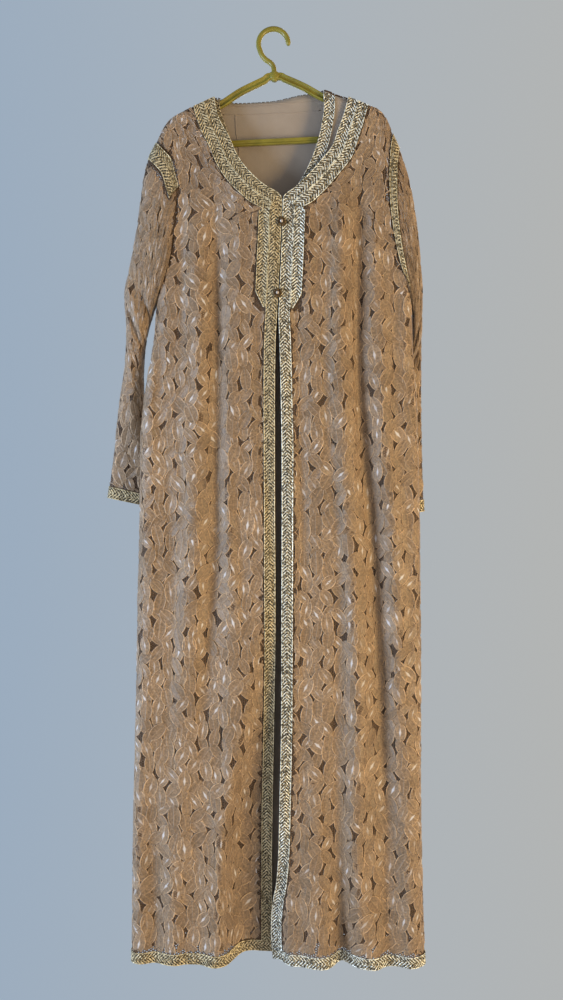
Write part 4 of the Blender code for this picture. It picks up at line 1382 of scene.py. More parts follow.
def blended(graph: Graph, kind: str, factor: object, first: object,
            second: object) -> bpy.types.NodeSocket:
    """Mix of two colours.

    Args:
        graph: The material's graph.
        kind: Way of mixing.
        factor: Share of the second colour.
        first: Colour to start from.
        second: Colour to mix in.

    Returns:
        The mixed colour.
    """
    values = {0: factor, 6: first, 7: second}
    return graph.add("ShaderNodeMix", values, data_type="RGBA", blend_type=kind).outputs[2]


def bumped(graph: Graph, shader: bpy.types.Node, height: bpy.types.NodeSocket,
           distance: float) -> None:
    """Feed a height into the shader's normal.

    Args:
        graph: The material's graph.
        shader: Shader of the material.
        height: Height from 0 to about 1.
        distance: Depth in metres that a height of 1 stands for.
    """
    bump = graph.add("ShaderNodeBump", {"Height": height, "Distance": distance, "Strength": 1.0})
    graph.tree.links.new(bump.outputs[0], shader.inputs["Normal"])


def grey(graph: Graph, value: bpy.types.NodeSocket) -> bpy.types.NodeSocket:
    """A number as a grey colour."""
    return graph.add("ShaderNodeCombineColor", {0: value, 1: value, 2: value}).outputs[0]


def net_material() -> bpy.types.Material:
    """Brown net with round holes through it, its threads painted darker than their own tan as painted shade
    in the gaps between the leaves.

    Returns:
        The material.
    """
    material, graph, shader = Finish("net", NET_PAINTED_SHADE_COLOUR, 0.7, sheen=0.1).start()
    cut = graph.add("ShaderNodeUVMap", uv_map="cut").outputs[0]
    hole = group_node(graph, Group.NET, {"Place": cut, "Pitch": 0.0037})
    tone = group_node(graph, Group.SPREAD, {"Place": cut, "Size": 0.03, "Amount": 0.9})
    # Thread colour with random tone; its darkness is painted shade for the gaps between the leaves.
    colour = blended(graph, "MULTIPLY", 1.0, (*NET_PAINTED_SHADE_COLOUR, 1.0), grey(graph, tone))
    graph.tree.links.new(colour, shader.inputs["Base Color"])
    solid = graph.math("SUBTRACT", 1.0, hole)
    graph.tree.links.new(solid, shader.inputs["Alpha"])
    bumped(graph, shader, solid, 0.0004)
    return material


def leaf_material() -> bpy.types.Material:
    """Satin-stitched leaf with a corded edge and a vein, with painted highlights on the vein, the satin
    threads and the middle of some leaves, and painted shade in dots along its outer rim.

    Returns:
        The material.
    """
    finish = Finish("satin_leaf", (0.28, 0.18, 0.1), 0.42, sheen=0.3,
                    sheen_tint=(0.9, 0.92, 1.0), specular=0.5)
    material, graph, shader = finish.start()
    place = graph.add("ShaderNodeUVMap", uv_map="leaf").outputs[0]
    spot = graph.add("ShaderNodeSeparateXYZ", {0: place})
    tone = graph.add("ShaderNodeAttribute", attribute_name="tone").outputs["Fac"]
    colour = ramp(graph, tone, (
        (0.0, (0.238, 0.152, 0.083)), (1.0, (0.332, 0.222, 0.132))))
    x = graph.math("SUBTRACT", spot.outputs[0], 0.5)
    y = graph.math("SUBTRACT", spot.outputs[1], 0.5)
    off = graph.math("ABSOLUTE", x)
    half = graph.math("POWER", graph.math("MAXIMUM", graph.math(
        "SUBTRACT", 1.0, graph.math("POWER", graph.math("MULTIPLY", y, 2.0), 2.0)), 0.001), 0.65)
    edge = graph.math("DIVIDE", graph.math("MULTIPLY", off, 2.0), half)
    cord = graph.mapped(edge, 0.74, 0.80)
    # Outer rim of the leaf, darkened further down as painted shade.
    rim = graph.mapped(edge, 0.89, 0.95)
    cord = graph.math("SUBTRACT", cord, rim)
    vein = graph.mapped(off, 0.02, 0.06, 1.0, 0.0)
    slope = graph.math("ADD", graph.math("MULTIPLY", y, 150.0), graph.math("MULTIPLY", off, 60.0))
    threads = graph.math("MULTIPLY", graph.math("ADD", graph.math("SINE", slope), 1.0), 0.5)
    twist = graph.math("SINE", graph.math("MULTIPLY", graph.math("ADD", y, x), 62.0))
    rim_shade_dots = graph.math("ADD", 0.5, graph.math("MULTIPLY", twist, 0.5))
    # The vein and the satin threads are drawn lighter than the leaf: their stitch pattern, with a painted
    # highlight on them.
    lit = graph.math("ADD", graph.math("MULTIPLY", cord, 0.85), graph.math("MULTIPLY", vein, 0.2))
    lit = graph.math("ADD", graph.math("ADD", lit, 0.78), graph.math("MULTIPLY", threads, 0.22))
    # Painted shade: the outer rim of each leaf is darkened in dots beside the cord.
    lit = graph.math("SUBTRACT", lit, graph.math("MULTIPLY", rim, graph.math(
        "MULTIPLY_ADD", rim_shade_dots, 0.6, 0.3)))
    room = graph.add("ShaderNodeTexCoord").outputs["Object"]
    spread = group_node(graph, Group.SPREAD, {"Place": room, "Size": 0.05, "Amount": 0.55})
    grain = graph.noise(room, 300.0, 2.0)
    lit = graph.math("MULTIPLY", lit, graph.math("MULTIPLY_ADD", grain, 1.7, 0.17))
    colour = blended(graph, "MULTIPLY", 1.0, colour, grey(graph, graph.math("MULTIPLY", lit, spread)))
    # Painted highlight: a pale spot in the middle of the leaves of highest tone.
    reach = graph.math("ADD", graph.math("MULTIPLY", off, 2.2), graph.math("ABSOLUTE", y))
    painted_highlight_spot = graph.mapped(reach, 0.12, 0.26, 1.0, 0.0)
    highlighted_leaves = graph.mapped(tone, 0.55, 0.95, 0.0, 0.85)
    share = graph.math("MULTIPLY", painted_highlight_spot, highlighted_leaves)
    colour = blended(graph, "MIX", share, colour, (*LEAF_PAINTED_HIGHLIGHT, 1.0))
    graph.tree.links.new(colour, shader.inputs["Base Color"])
    rough = graph.math("ADD", 0.30, graph.math("MULTIPLY", spread, 0.12))
    graph.tree.links.new(rough, shader.inputs["Roughness"])
    height = graph.math("ADD", graph.math("MULTIPLY", threads, 0.35), graph.math("MULTIPLY", cord, 1.2))
    height = graph.math("ADD", height, graph.math("MULTIPLY", graph.math("MULTIPLY", twist, cord), 0.4))
    height = graph.math("ADD", height, graph.math("MULTIPLY", vein, 0.8))
    bumped(graph, shader, height, 0.00045)
    return material


def lining_material() -> bpy.types.Material:
    """Plain woven lining, slightly creased.

    Returns:
        The material.
    """
    finish = Finish("lining_cloth", (0.36, 0.30, 0.25), 0.8, sheen=0.2)
    material, graph, shader = finish.start()
    cut = graph.add("ShaderNodeUVMap", uv_map="cut").outputs[0]
    weave = group_node(graph, Group.WEAVE, {"Place": cut, "Pitch": 0.0009})
    tone = group_node(graph, Group.SPREAD, {"Place": cut, "Size": 0.045, "Amount": 0.3})
    lit = graph.math("MULTIPLY", tone, graph.math("ADD", 0.88, graph.math("MULTIPLY", weave, 0.2)))
    colour = blended(graph, "MULTIPLY", 1.0, (*LINING_COLOUR, 1.0), grey(graph, lit))
    graph.tree.links.new(colour, shader.inputs["Base Color"])
    creases = graph.noise(graph.vector("MULTIPLY", cut, (1.0, 0.3, 1.0)), 28.0, 2.0)
    height = graph.math("ADD", graph.math("MULTIPLY", weave, 0.12), creases)
    bumped(graph, shader, height, 0.0012)
    return material


def thread_material(finish: Finish, dark: tuple[float, float, float]) -> bpy.types.Material:
    """Metallic woven thread, with uneven brightness along it.

    Args:
        finish: Plain values.
        dark: Colour of its duller stretches.

    Returns:
        The material.
    """
    material, graph, shader = finish.start()
    place = graph.add("ShaderNodeTexCoord").outputs["Object"]
    fine = graph.noise(place, 270.0, 2.0)
    tone = group_node(graph, Group.SPREAD, {"Place": place, "Size": 0.012, "Amount": 0.5})
    colour = ramp(graph, fine, ((0.43, dark), (0.51, finish.colour)))
    colour = blended(graph, "MULTIPLY", 1.0, colour, grey(graph, tone))
    graph.tree.links.new(colour, shader.inputs["Base Color"])
    rough = graph.math("ADD", finish.roughness - 0.1, graph.math("MULTIPLY", fine, 0.22))
    graph.tree.links.new(rough, shader.inputs["Roughness"])
    bumped(graph, shader, fine, 0.0004)
    return material


def ground_material() -> bpy.types.Material:
    """Dark ground that shows between the braid's threads.

    Returns:
        The material.
    """
    material, graph, shader = Finish("braid_ground", (0.06, 0.05, 0.03), 0.75).start()
    cut = graph.add("ShaderNodeUVMap", uv_map="cut").outputs[0]
    weave = group_node(graph, Group.WEAVE, {"Place": cut, "Pitch": 0.0011})
    fleck = graph.noise(cut, 330.0, 1.0)
    colour = ramp(graph, fleck, ((0.48, (0.018, 0.014, 0.008)), (0.58, (0.38, 0.30, 0.17))))
    graph.tree.links.new(colour, shader.inputs["Base Color"])
    bumped(graph, shader, weave, 0.0004)
    return material


def worn_material(finish: Finish, dark: tuple[float, float, float], size: float,
                  depth: float) -> bpy.types.Material:
    """Hard finish with uneven tone and fine surface texture.

    Args:
        finish: Plain values.
        dark: Colour of the darker patches.
        size: Size of the patches in metres.
        depth: Depth of the fine texture in metres.

    Returns:
        The material.
    """
    material, graph, shader = finish.start()
    place = graph.add("ShaderNodeTexCoord").outputs["Object"]
    coarse = graph.noise(place, 1.0 / size, 5.0, 0.65)
    fine = graph.noise(place, 900.0, 2.0)
    colour = ramp(graph, coarse, ((0.32, dark), (0.58, finish.colour)))
    graph.tree.links.new(colour, shader.inputs["Base Color"])
    rough = graph.math("ADD", finish.roughness - 0.08, graph.math("MULTIPLY", coarse, 0.2))
    graph.tree.links.new(rough, shader.inputs["Roughness"])
    bumped(graph, shader, fine, depth)
    return material


@dataclass
class Wardrobe:
    """All the finishes, made once."""

    made: dict[str, bpy.types.Material] = field(default_factory=dict)

    def build(self) -> None:
        """Make the shared groups and every material."""
        net_group()
        weave_group()
        spread_group()
        gold = Finish("gold_thread", (0.76, 0.64, 0.40), 0.36, 0.2, specular=0.8)
        silver = Finish("silver_thread", (0.92, 0.94, 0.86), 0.3, 0.2, specular=0.9)
        bronze = Finish("bronze", (0.16, 0.105, 0.05), 0.4, 0.8)
        pearl = Finish("pearl", (0.52, 0.44, 0.38), 0.22, coat=0.5, specular=0.6)
        plastic = Finish("olive_plastic", (0.26, 0.225, 0.03), 0.36, specular=0.45, coat=0.1)
        self.made = {
            "net": net_material(),
            "leaf": leaf_material(),
            "lining": lining_material(),
            "gold": thread_material(gold, (0.19, 0.14, 0.06)),
            "silver": thread_material(silver, (0.12, 0.115, 0.09)),
            "ground": ground_material(),
            "bronze": worn_material(bronze, (0.03, 0.02, 0.012), 0.003, 0.0002),
            "pearl": worn_material(pearl, (0.55, 0.46, 0.40), 0.004, 0.00005),
            "plastic": worn_material(plastic, (0.17, 0.145, 0.018), 0.05, 0.00008),
        }


def leaf_prototype() -> bpy.types.Object:
    """One leaf, lying flat: a raised cord round a hollow with a vein.

    Returns:
        The leaf.
    """
    steps = 12
    rings = ((1.0, 0.05), (0.93, 0.6), (0.82, 0.3), (0.0, 0.42))
    points, corners, faces = [], [], []
    for share, height in rings:
        for step in range(steps):
            angle = 2.0 * math.pi * (step + 0.5) / steps
            side = math.copysign(abs(math.sin(angle)) ** 1.3, math.sin(angle))
            x = LEAF_WIDTH / 2.0 * side * share
            y = LEAF_LENGTH / 2.0 * math.cos(angle) * (share if share else 0.5)
            points.append((x, y, height))
            corners.append((x / LEAF_WIDTH + 0.5, y / LEAF_LENGTH + 0.5))
    for ring in range(len(rings) - 1):
        for step in range(steps):
            after = (step + 1) % steps
            a, b = ring * steps + step, ring * steps + after
            faces.append((a, a + steps, b + steps, b))
    leaf = mesh_object("leaf_pattern", np.array(points), faces, np.array(corners), "leaf")
    with edited(leaf) as build:
        bmesh.ops.remove_doubles(build, verts=build.verts, dist=0.05 * MM)
        bmesh.ops.recalc_face_normals(build, faces=build.faces)
        if sum(face.normal.z for face in build.faces) < 0.0:
            bmesh.ops.reverse_faces(build, faces=build.faces)
    leaf.data.shade_smooth()
    return leaf


def thread_prototype() -> bpy.types.Object:
    """One thread across a braid: x from 0 to 1, rounded on top.

    Returns:
        The thread.
    """
    stations = 12
    points, faces = [], []
    for step in range(stations + 1):
        for y, z in ((-0.5, -0.2), (-0.2, 0.8), (0.2, 0.8), (0.5, -0.2)):
            points.append((step / stations * 1000.0, y * THREAD_WIDTH, z * 1000.0))
    for step in range(stations):
        for side in range(3):
            a = step * 4 + side
            faces.append((a, a + 4, a + 5, a + 1))
    return mesh_object("thread_pattern", np.array(points), faces)


@dataclass
class Workshop:
    """Patterns and trees that the cloth pieces share."""

    wardrobe: Wardrobe
    leaf: bpy.types.Object
    thread: bpy.types.Object
    leaf_tree: bpy.types.NodeTree
    thread_tree: bpy.types.NodeTree

    def finish(self, name: str) -> bpy.types.Material:
        """One material by name."""
        return self.wardrobe.made[name]


def settle(piece: bpy.types.Object, nodes: Sequence[str] = ()) -> bpy.types.Object:
    """Tie a finished piece to the frame.

    Args:
        piece: The piece.
        nodes: CAD nodes that it stands for.

    Returns:
        The piece.
    """
    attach(piece, "root")
    if nodes:
        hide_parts(*nodes)
    log.info("%s: %d faces", piece.name, len(piece.data.polygons))
    return piece


@dataclass
class LacePanel:
    """Net shell with satin leaves on it."""

    name: str
    surface: Surface
    covered: Array
    seed: int

    def build(self, shop: Workshop) -> list[bpy.types.Object]:
        """Make the net and its leaves.

        Args:
            shop: Shared patterns and finishes.

        Returns:
            The net, then its leaves.
        """
        net = wall_object("net_" + self.name, self.surface, CLOTH_WALL)
        net.data.materials.append(shop.finish("net"))
        settle(net, [self.name])
        along = arc(self.surface.points, 0)
        heights = self.surface.cut[-1:, :, 1] + along[-1:] - along
        cut = np.stack([self.surface.cut[..., 0], heights], axis=2)
        spread = Surface(self.surface.points, cut, self.surface.closed, self.surface.flip)
        host = face_object("host_" + self.name, spread, self.covered)
        low, high = cut.min(axis=(0, 1)) * MM, cut.max(axis=(0, 1)) * MM
        columns = math.ceil((high[0] - low[0]) / (LEAF_PITCH * MM)) + 1
        rows = math.ceil((high[1] - low[1]) / (LEAF_SPACING * MM)) + 1
        leaves = run_tree("leaves_" + self.name, host, shop.leaf_tree, {
            "Leaf": shop.leaf, "Low": [float(low[0]), float(low[1]), 0.0], "Columns": columns,
            "Rows": rows, "Pitch": LEAF_PITCH * MM, "Spacing": LEAF_SPACING * MM,
            "Turn": LEAF_TURN, "Jitter": LEAF_JITTER * MM, "Seed": self.seed,
            "Finish": shop.finish("leaf"),
        })
        settle(leaves)
        return [net, leaves]


@dataclass
class Strip:
    """Woven braid laid along a strip of cloth."""

    name: str
    surface: Surface
    thread: str = "gold"
    across: bool = False

    def build(self, shop: Workshop) -> list[bpy.types.Object]:
        """Make the ribbon and the threads woven over it.

        Args:
            shop: Shared patterns and finishes.

        Returns:
            The ribbon, then its threads.
        """
        laid = self.surface.turned() if self.across else self.surface
        width = float(np.linalg.norm(np.diff(laid.points, axis=1), axis=2).sum(axis=1).mean())
        middle = laid.points[:, laid.points.shape[1] // 2]
        along = np.concatenate([[0.0], np.cumsum(np.linalg.norm(np.diff(middle, axis=0), axis=1))])
        shares = np.linspace(0.0, width, laid.points.shape[1])
        laid = Surface(laid.points, np.stack(np.meshgrid(shares, along), axis=2), False, laid.flip)
        face = laid
        if self.across:
            face = laid.turned()
            face.closed = self.surface.closed
        ribbon = wall_object("ribbon_" + self.name, face, BRAID_WALL)
        ribbon.data.materials.append(shop.finish("ground"))
        settle(ribbon, [self.name])
        length = float(along[-1])
        threads = run_tree("threads_" + self.name, face_object("host_" + self.name, laid),
                           shop.thread_tree, {
            "Thread": shop.thread, "Count": round(length / THREAD_PITCH) + 8,
            "Pitch": THREAD_PITCH * MM, "Width": width * MM, "Slant": THREAD_SLANT,
            "Thickness": THREAD_THICKNESS * MM, "Swell": THREAD_SWELL * MM,
            "Waves": round(width / THREAD_WAVE * 2.0) / 2.0, "Cord": EDGE_CORD * MM,
            "Steps": max(8, round(length / 6.0)), "Length": length * MM,
            "Finish": shop.finish(self.thread),
        })
        settle(threads)
        return [ribbon, threads]


@dataclass
class LiningPanel:
    """Plain lining shell with lines of stitching on the side that shows."""

    name: str
    surface: Surface
    stitches: tuple[tuple[tuple[float, float], ...], ...] = ()

    def build(self, shop: Workshop) -> list[bpy.types.Object]:
        """Make the lining and its stitched lines.

        Args:
            shop: Shared patterns and finishes.

        Returns:
            The lining, then its stitched lines.
        """
        made = wall_object("cloth_" + self.name, self.surface, LINING_WALL)
        made.data.materials.append(shop.finish("lining"))
        settle(made, [self.name])
        pieces = [made]
        for number, line in enumerate(self.stitches):
            route = refined(np.array(line, float), 4.0)
            y = Drape.back(route[:, 0], route[:, 1], LINING) - LINING_WALL - 0.2
            path = np.stack([route[:, 0], y, -route[:, 1]], axis=1)
            seam = sweep(f"stitches_{self.name}_{number}", path, circle_section(6), np.full(len(path), 0.75))
            seam.data.materials.append(shop.finish("lining"))
            pieces.append(settle(seam))
        return pieces


def circle_section(count: int) -> Array:
    """Round section with a radius of 1."""
    turn = np.arange(count) * 2.0 * math.pi / count
    return np.stack([np.cos(turn), np.sin(turn)], axis=1)


CHANNEL = ((-1, -0.55), (-0.92, -0.95), (-0.8, -1), (-0.66, -1), (-0.56, -0.86), (-0.5, -0.32),
           (0.5, -0.32), (0.56, -0.86), (0.66, -1), (0.8, -1), (0.92, -0.95), (1, -0.55))


def sweep(name: str, path: Array, section: Array, half: Array, depth: Array | None = None,
          closed: bool = False) -> bpy.types.Object:
    """Solid made by moving a section along a path that lies nearly in the x-z plane.

    Args:
        name: Name of the object.
        path: Points in millimetres.
        section: Section as (across the path, away from the viewer), from -1 to 1.
        half: Half the width across, for each point.
        depth: Half the thickness, for each point; the same as half where none is given.
        closed: True where the path's end meets its start.

    Returns:
        The object.
    """
    depth = half if depth is None else depth
    if closed:
        tangent = np.roll(path, -1, axis=0) - np.roll(path, 1, axis=0)
    else:
        tangent = np.gradient(path, axis=0)
    across = np.stack([-tangent[:, 2], np.zeros(len(path)), tangent[:, 0]], axis=1)
    across /= np.linalg.norm(across, axis=1, keepdims=True)
    points = (path[:, None] + across[:, None] * (section[:, 0][None, :, None] * half[:, None, None])
              + np.array([0.0, 1.0, 0.0]) * (section[:, 1][None, :, None] * depth[:, None, None]))
    count, size = points.shape[:2]
    faces = []
    for station in range(count if closed else count - 1):
        after = (station + 1) % count
        for side in range(size):
            beside = (side + 1) % size
            faces.append((station * size + side, after * size + side,
                          after * size + beside, station * size + beside))
    if not closed:
        faces.append(tuple(range(size)))
        faces.append(tuple(range(count * size - 1, (count - 1) * size - 1, -1)))
    made = mesh_object(name, points.reshape(-1, 3), faces)
    face_outwards(made)
    return made


def face_outwards(made: bpy.types.Object) -> None:
    """Turn every face of a closed mesh outwards."""
    with edited(made) as build:
        bmesh.ops.recalc_face_normals(build, faces=build.faces)


HOOK_CENTRE = (-2.7, 18.5)
HOOK_RADIUS = 26.0
HOOK_ROD = 4.5
HOOK_ANGLES = (-6.0, 202.0)
HOOK_NECK = ((-24, 36), (-17, 45.5), (-7, 52.5), (-2, 61), (-1, 74), (-1, 84))
HANGER_HALF = 4.0
ARM_HEIGHT = 11.0 * 1.08
BAR_HEIGHT = 9.5
ARM_TOP = (
    (-186, 169), (-168, 153.5), (-130, 134.5), (-96, 120), (-60, 97), (-17, 75.5), (-12, 71),
    (10, 70), (16, 73), (50, 88), (84, 106.5), (128, 123.5), (164, 138), (182, 148),
)
LOOPS = ((172.0, 166.0, 60.0, -90.0), (-171.0, 182.0, -90.0, -240.0))
LOOP_RADIUS = 21.0
COLLAR = ((68.5, 6.0), (69.5, 8.2), (75.0, 8.6), (80.0, 8.2), (81.0, 6.0))


@dataclass
class Hanger:
    """Moulded hanger with raised rims along its bars, and its round hook."""

    name: str = "hanger"

    def build(self, shop: Workshop) -> list[bpy.types.Object]:
        """Make the frame, the hook and the collar where they meet.

        Args:
            shop: Shared finishes.

        Returns:
            The three pieces, the frame first.
        """
        arms = refined(np.array(ARM_TOP, float), 5.0)
        middle = [(x, drop + ARM_HEIGHT / 2.0) for x, drop in arms[1:-1]]
        half = [ARM_HEIGHT / 2.0] * len(middle)
        for x, drop, start, end in LOOPS:
            for angle in np.radians(np.linspace(start, end, 21)):
                radius = LOOP_RADIUS - BAR_HEIGHT / 2.0
                middle.append((x + radius * math.cos(angle), drop - radius * math.sin(angle)))
                half.append(BAR_HEIGHT / 2.0)
            if x > 0.0:
                low = np.linspace(0.0, 1.0, 24)[1:-1]
                other = LOOPS[1]
                for share in low:
                    middle.append((mix(x, other[0], share),
                                   mix(drop, other[1], share) + LOOP_RADIUS - BAR_HEIGHT / 2.0))
                    half.append(BAR_HEIGHT / 2.0)
        path = np.array([(x, 0.0, -drop) for x, drop in middle])
        halves = np.array(half)
        for _ in range(4):
            halves = (np.roll(halves, 1) + 2.0 * halves + np.roll(halves, -1)) / 4.0
        section = np.array(CHANNEL + tuple((-u, -w) for u, w in CHANNEL), float)
        frame_piece = sweep("hanger_frame", path, section, halves,
                            np.full(len(path), HANGER_HALF), closed=True)
        turn = np.radians(np.linspace(*HOOK_ANGLES, 49))
        route = [(HOOK_CENTRE[0] + HOOK_RADIUS * math.cos(angle),
                  HOOK_CENTRE[1] - HOOK_RADIUS * math.sin(angle)) for angle in turn]
        neck = refined(np.array([route[-1], *HOOK_NECK], float), 2.5)[1:]
        line = np.array([(x, 0.0, -drop) for x, drop in [*route, *neck]])
        radii = np.full(len(line), HOOK_ROD)
        tip = np.array([2.2, 3.6, 4.3])
        radii[:3] = tip
        hook = sweep("hanger_hook", line, circle_section(20), radii)
        rings = np.array(COLLAR)
        collar = sweep("hanger_collar", np.array([(-1.0, 0.0, -drop) for drop, _ in COLLAR]),
                       circle_section(24), rings[:, 1], np.minimum(rings[:, 1], 5.4))
        for piece in (frame_piece, hook, collar):
            piece.data.materials.append(shop.finish("plastic"))
            settle(piece, [self.name] if piece is frame_piece else ())
        return [frame_piece, hook, collar]


PETALS = 8
BUTTON_RADIUS = 8.5
BUTTON_RINGS = ((0.0, 2.6), (0.30, 2.8), (0.42, 2.2), (0.55, 2.9), (0.72, 3.3), (0.88, 2.6),
                (0.97, 1.5), (1.0, 0.8), (0.94, 0.2), (0.6, 0.0), (0.0, 0.0))
BEADS = 12
BEAD_RADIUS = 0.85
BEAD_RING = 4.1
BEAD_LIFT = 3.1
PEARL_LIFT = 3.4
BUTTON_SINK = 1.4
BUTTON_REACH = 7.0
PEARL_RADIUS = 2.7


@dataclass
class Button:
    """Flower-shaped metal button with a ring of beads and a pearl."""

    name: str
    x: float
    drop: float

    def build(self, shop: Workshop) -> list[bpy.types.Object]:
        """Make the flower, the beads and the pearl.

        Args:
            shop: Shared finishes.

        Returns:
            The flower with its beads, then the pearl.
        """
        sides = [Drape.front(part, np.array([self.x + step]), np.array([self.drop]), OUTER)[0]
                 for part, step in ((Part.RIGHT, -BUTTON_REACH), (Part.LEFT, BUTTON_REACH))]
        seat = min(sides) - BUTTON_SINK
        steps = PETALS * 8
        turn = np.arange(steps) * 2.0 * math.pi / steps
        points, faces = [], []
        for share, height in BUTTON_RINGS:
            petal = np.abs(np.cos(PETALS * turn / 2.0)) ** 0.6
            radius = BUTTON_RADIUS * share * (0.86 + 0.14 * petal)
            raised = height * (1.0 - 0.35 * (1.0 - petal) * (share > 0.5) * (height > 1.0))
            points += list(zip(radius * np.cos(turn), -raised, radius * np.sin(turn)))
        for ring in range(len(BUTTON_RINGS) - 1):
            for step in range(steps):
                after = (step + 1) % steps
                faces.append((ring * steps + step, ring * steps + after,
                              (ring + 1) * steps + after, (ring + 1) * steps + step))
        flower = mesh_object("flower_" + self.name, np.array(points) + self.place(seat), faces)
        weld(flower)
        beads = []
        for number in range(BEADS):
            angle = 2.0 * math.pi * number / BEADS
            centre = (BEAD_RING * math.cos(angle), -BEAD_LIFT, BEAD_RING * math.sin(angle))
            beads.append(self.ball(seat, centre, BEAD_RADIUS, 8, 5))
        join_meshes(flower, beads)
        face_outwards(flower)
        flower.data.materials.append(shop.finish("bronze"))
        settle(flower, [self.name])
        pearl = self.ball(seat, (0.0, -PEARL_LIFT, 0.0), PEARL_RADIUS, 24, 14)
        pearl.name = "pearl_" + self.name
        face_outwards(pearl)
        pearl.data.materials.append(shop.finish("pearl"))
        settle(pearl)
        return [flower, pearl]

    def place(self, seat: float) -> Array:
        """Middle of the button's back."""
        return np.array([self.x, seat, -self.drop])

    def ball(self, seat: float, centre: tuple[float, float, float], radius: float,
             around: int, down: int) -> bpy.types.Object:
        """Round bead on the button.

        Args:
            seat: Y of the button's back.
            centre: Place of the bead from the middle of the button's back.
            radius: Radius of the bead.
            around: Points round it.
            down: Rings from pole to pole.

        Returns:
            The bead.
        """
        build = bmesh.new()
        bmesh.ops.create_uvsphere(build, u_segments=around, v_segments=down, radius=radius * MM)
        move = (self.place(seat) + np.array(centre)) * MM
        bmesh.ops.translate(build, verts=build.verts, vec=Vector(move.tolist()))
        mesh = bpy.data.meshes.new("bead")
        build.to_mesh(mesh)
        build.free()
        mesh.shade_smooth()
        return link_object("bead", mesh)


def join_meshes(target: bpy.types.Object, others: Sequence[bpy.types.Object]) -> None:
    """Move the meshes of other objects into one object.

    Args:
        target: Object that keeps everything.
        others: Objects that are used up.
    """
    with edited(target) as build:
        for other in others:
            build.from_mesh(other.data)
            bpy.data.objects.remove(other)
    target.data.shade_smooth()


def front_rows(end: float, before: float) -> Array:
    """Rows of a strip that starts just under the shoulder line.

    Args:
        end: Last fractional row.
        before: Extra fractional row shortly before the end.

    Returns:
        Increasing fractional rows.
    """
    rows = np.arange(2.0, end, 1.0)
    return np.unique(np.concatenate([[TOP_ROW], rows, [before, end]]))


@dataclass
class Front:
    """One front: lace, its braids and its lining."""

    part: Part
    thread: str
    seed: int

    def build(self, shop: Workshop) -> list[bpy.types.Object]:
        """Make all the pieces of this front.

        Args:
            shop: Shared patterns and finishes.

        Returns:
            The net, with everything sewn to it after it.
        """
        side = self.part.value
        surface = front_surface(self.part, EDGES[self.part], OUTER, FRONT_STEP, INNER)
        last_row, last = surface.points.shape[0] - 1, surface.points.shape[1] - 1
        hem = last_row - HEM_ROWS
        end = row_at(surface, PLACKET_END, last)
        covered = np.zeros((last_row, last), bool)
        covered[:, last - INNER:] = True
        covered[:round(end), last - 2 * INNER:] = True
        covered[hem:] = True
        pieces = LacePanel("front_" + side, surface, covered, self.seed).build(shop)
        parting = BRAID_PARTING * INNER / BRAID_WIDTH
        raised = surface.moved(BRAID_LIFT + BRAID_WALL)
        edge_rows = front_rows(hem - HEM_CLEARANCE, hem - 0.5)
        edge = strip_of(raised, edge_rows, np.linspace(last - INNER + parting, last, INNER + 1))
        pieces += Strip("edge_braid_" + side, edge, self.thread).build(shop)
        taper = PLACKET_CHAMFER / float(surface.points[round(end) - 1, last, 2]
                                        - surface.points[round(end), last, 2])
        rows = front_rows(end, end - taper)
        cut = PLACKET_CUT * np.maximum(0.0, 1.0 - (end - rows) / taper)
        outer = last - 2 * INNER + cut * INNER
        inner = last - INNER - parting
        shares = np.linspace(0.0, 1.0, INNER + 1)
        band = strip_of(raised, rows, mix(outer[:, None], inner, shares[None]))
        pieces += Strip("neck_band_" + side, band, self.thread).build(shop)
        low = strip_of(raised, np.linspace(hem, last_row, HEM_ROWS + 1), np.arange(last + 1.0))
        pieces += Strip("hem_braid_front_" + side, low, self.thread, across=True).build(shop)
        flat = surface.size()
        return pieces + self.lining(shop)

    def lining(self, shop: Workshop) -> list[bpy.types.Object]:
        """Make the lining of this front and the braid inside its neck.

        Args:
            shop: Shared patterns and finishes.

        Returns:
            The lining and its braid.
        """
        side = self.part.value
        surface = front_surface(self.part, LINING_EDGES[self.part], LINING, FRONT_LINING_STEP, INNER)
        last = surface.points.shape[1] - 1
        low = round(row_at(surface, LINING_DROP, last))
        surface = surface.part(slice(0, low + 1), slice(None))
        pieces = LiningPanel("lining_front_" + side, surface).build(shop)
        end = row_at(surface, LINING_BRAID_END, last)
        raised = surface.moved(BRAID_LIFT + BRAID_WALL)
        strip = strip_of(raised, front_rows(end, end - 0.4), np.arange(last - INNER, last + 1.0))
        pieces += Strip("lining_braid_" + side, strip, self.thread).build(shop)
        flat = surface.size()
        return pieces


@dataclass
class Back:
    """The back: lace, hem braid and lining."""

    seed: int

    def build(self, shop: Workshop) -> list[bpy.types.Object]:
        """Make all the pieces of the back.

        Args:
            shop: Shared patterns and finishes.

        Returns:
            The net first.
        """
        surface = back_surface(OUTER, BACK_STEP)
        last_row, last = surface.points.shape[0] - 1, surface.points.shape[1] - 1
        hem = last_row - HEM_ROWS
        covered = np.zeros((last_row, last), bool)
        covered[hem:] = True
        pieces = LacePanel("back", surface, covered, self.seed).build(shop)
        raised = surface.moved(BRAID_LIFT + BRAID_WALL)
        low = strip_of(raised, np.linspace(hem, last_row, HEM_ROWS + 1), np.arange(last + 1.0))
        pieces += Strip("hem_braid_back", low, "gold", across=True).build(shop)
        flat = surface.size()
        inner = back_surface(LINING, BACK_LINING_STEP)
        low_row = round(row_at(inner, LINING_DROP, inner.points.shape[1] // 2))
        inner = inner.part(slice(0, low_row + 1), slice(None))
        lining = LiningPanel("lining_back", inner, BACK_STITCHES).build(shop)
        flat = inner.size()
        return pieces + lining


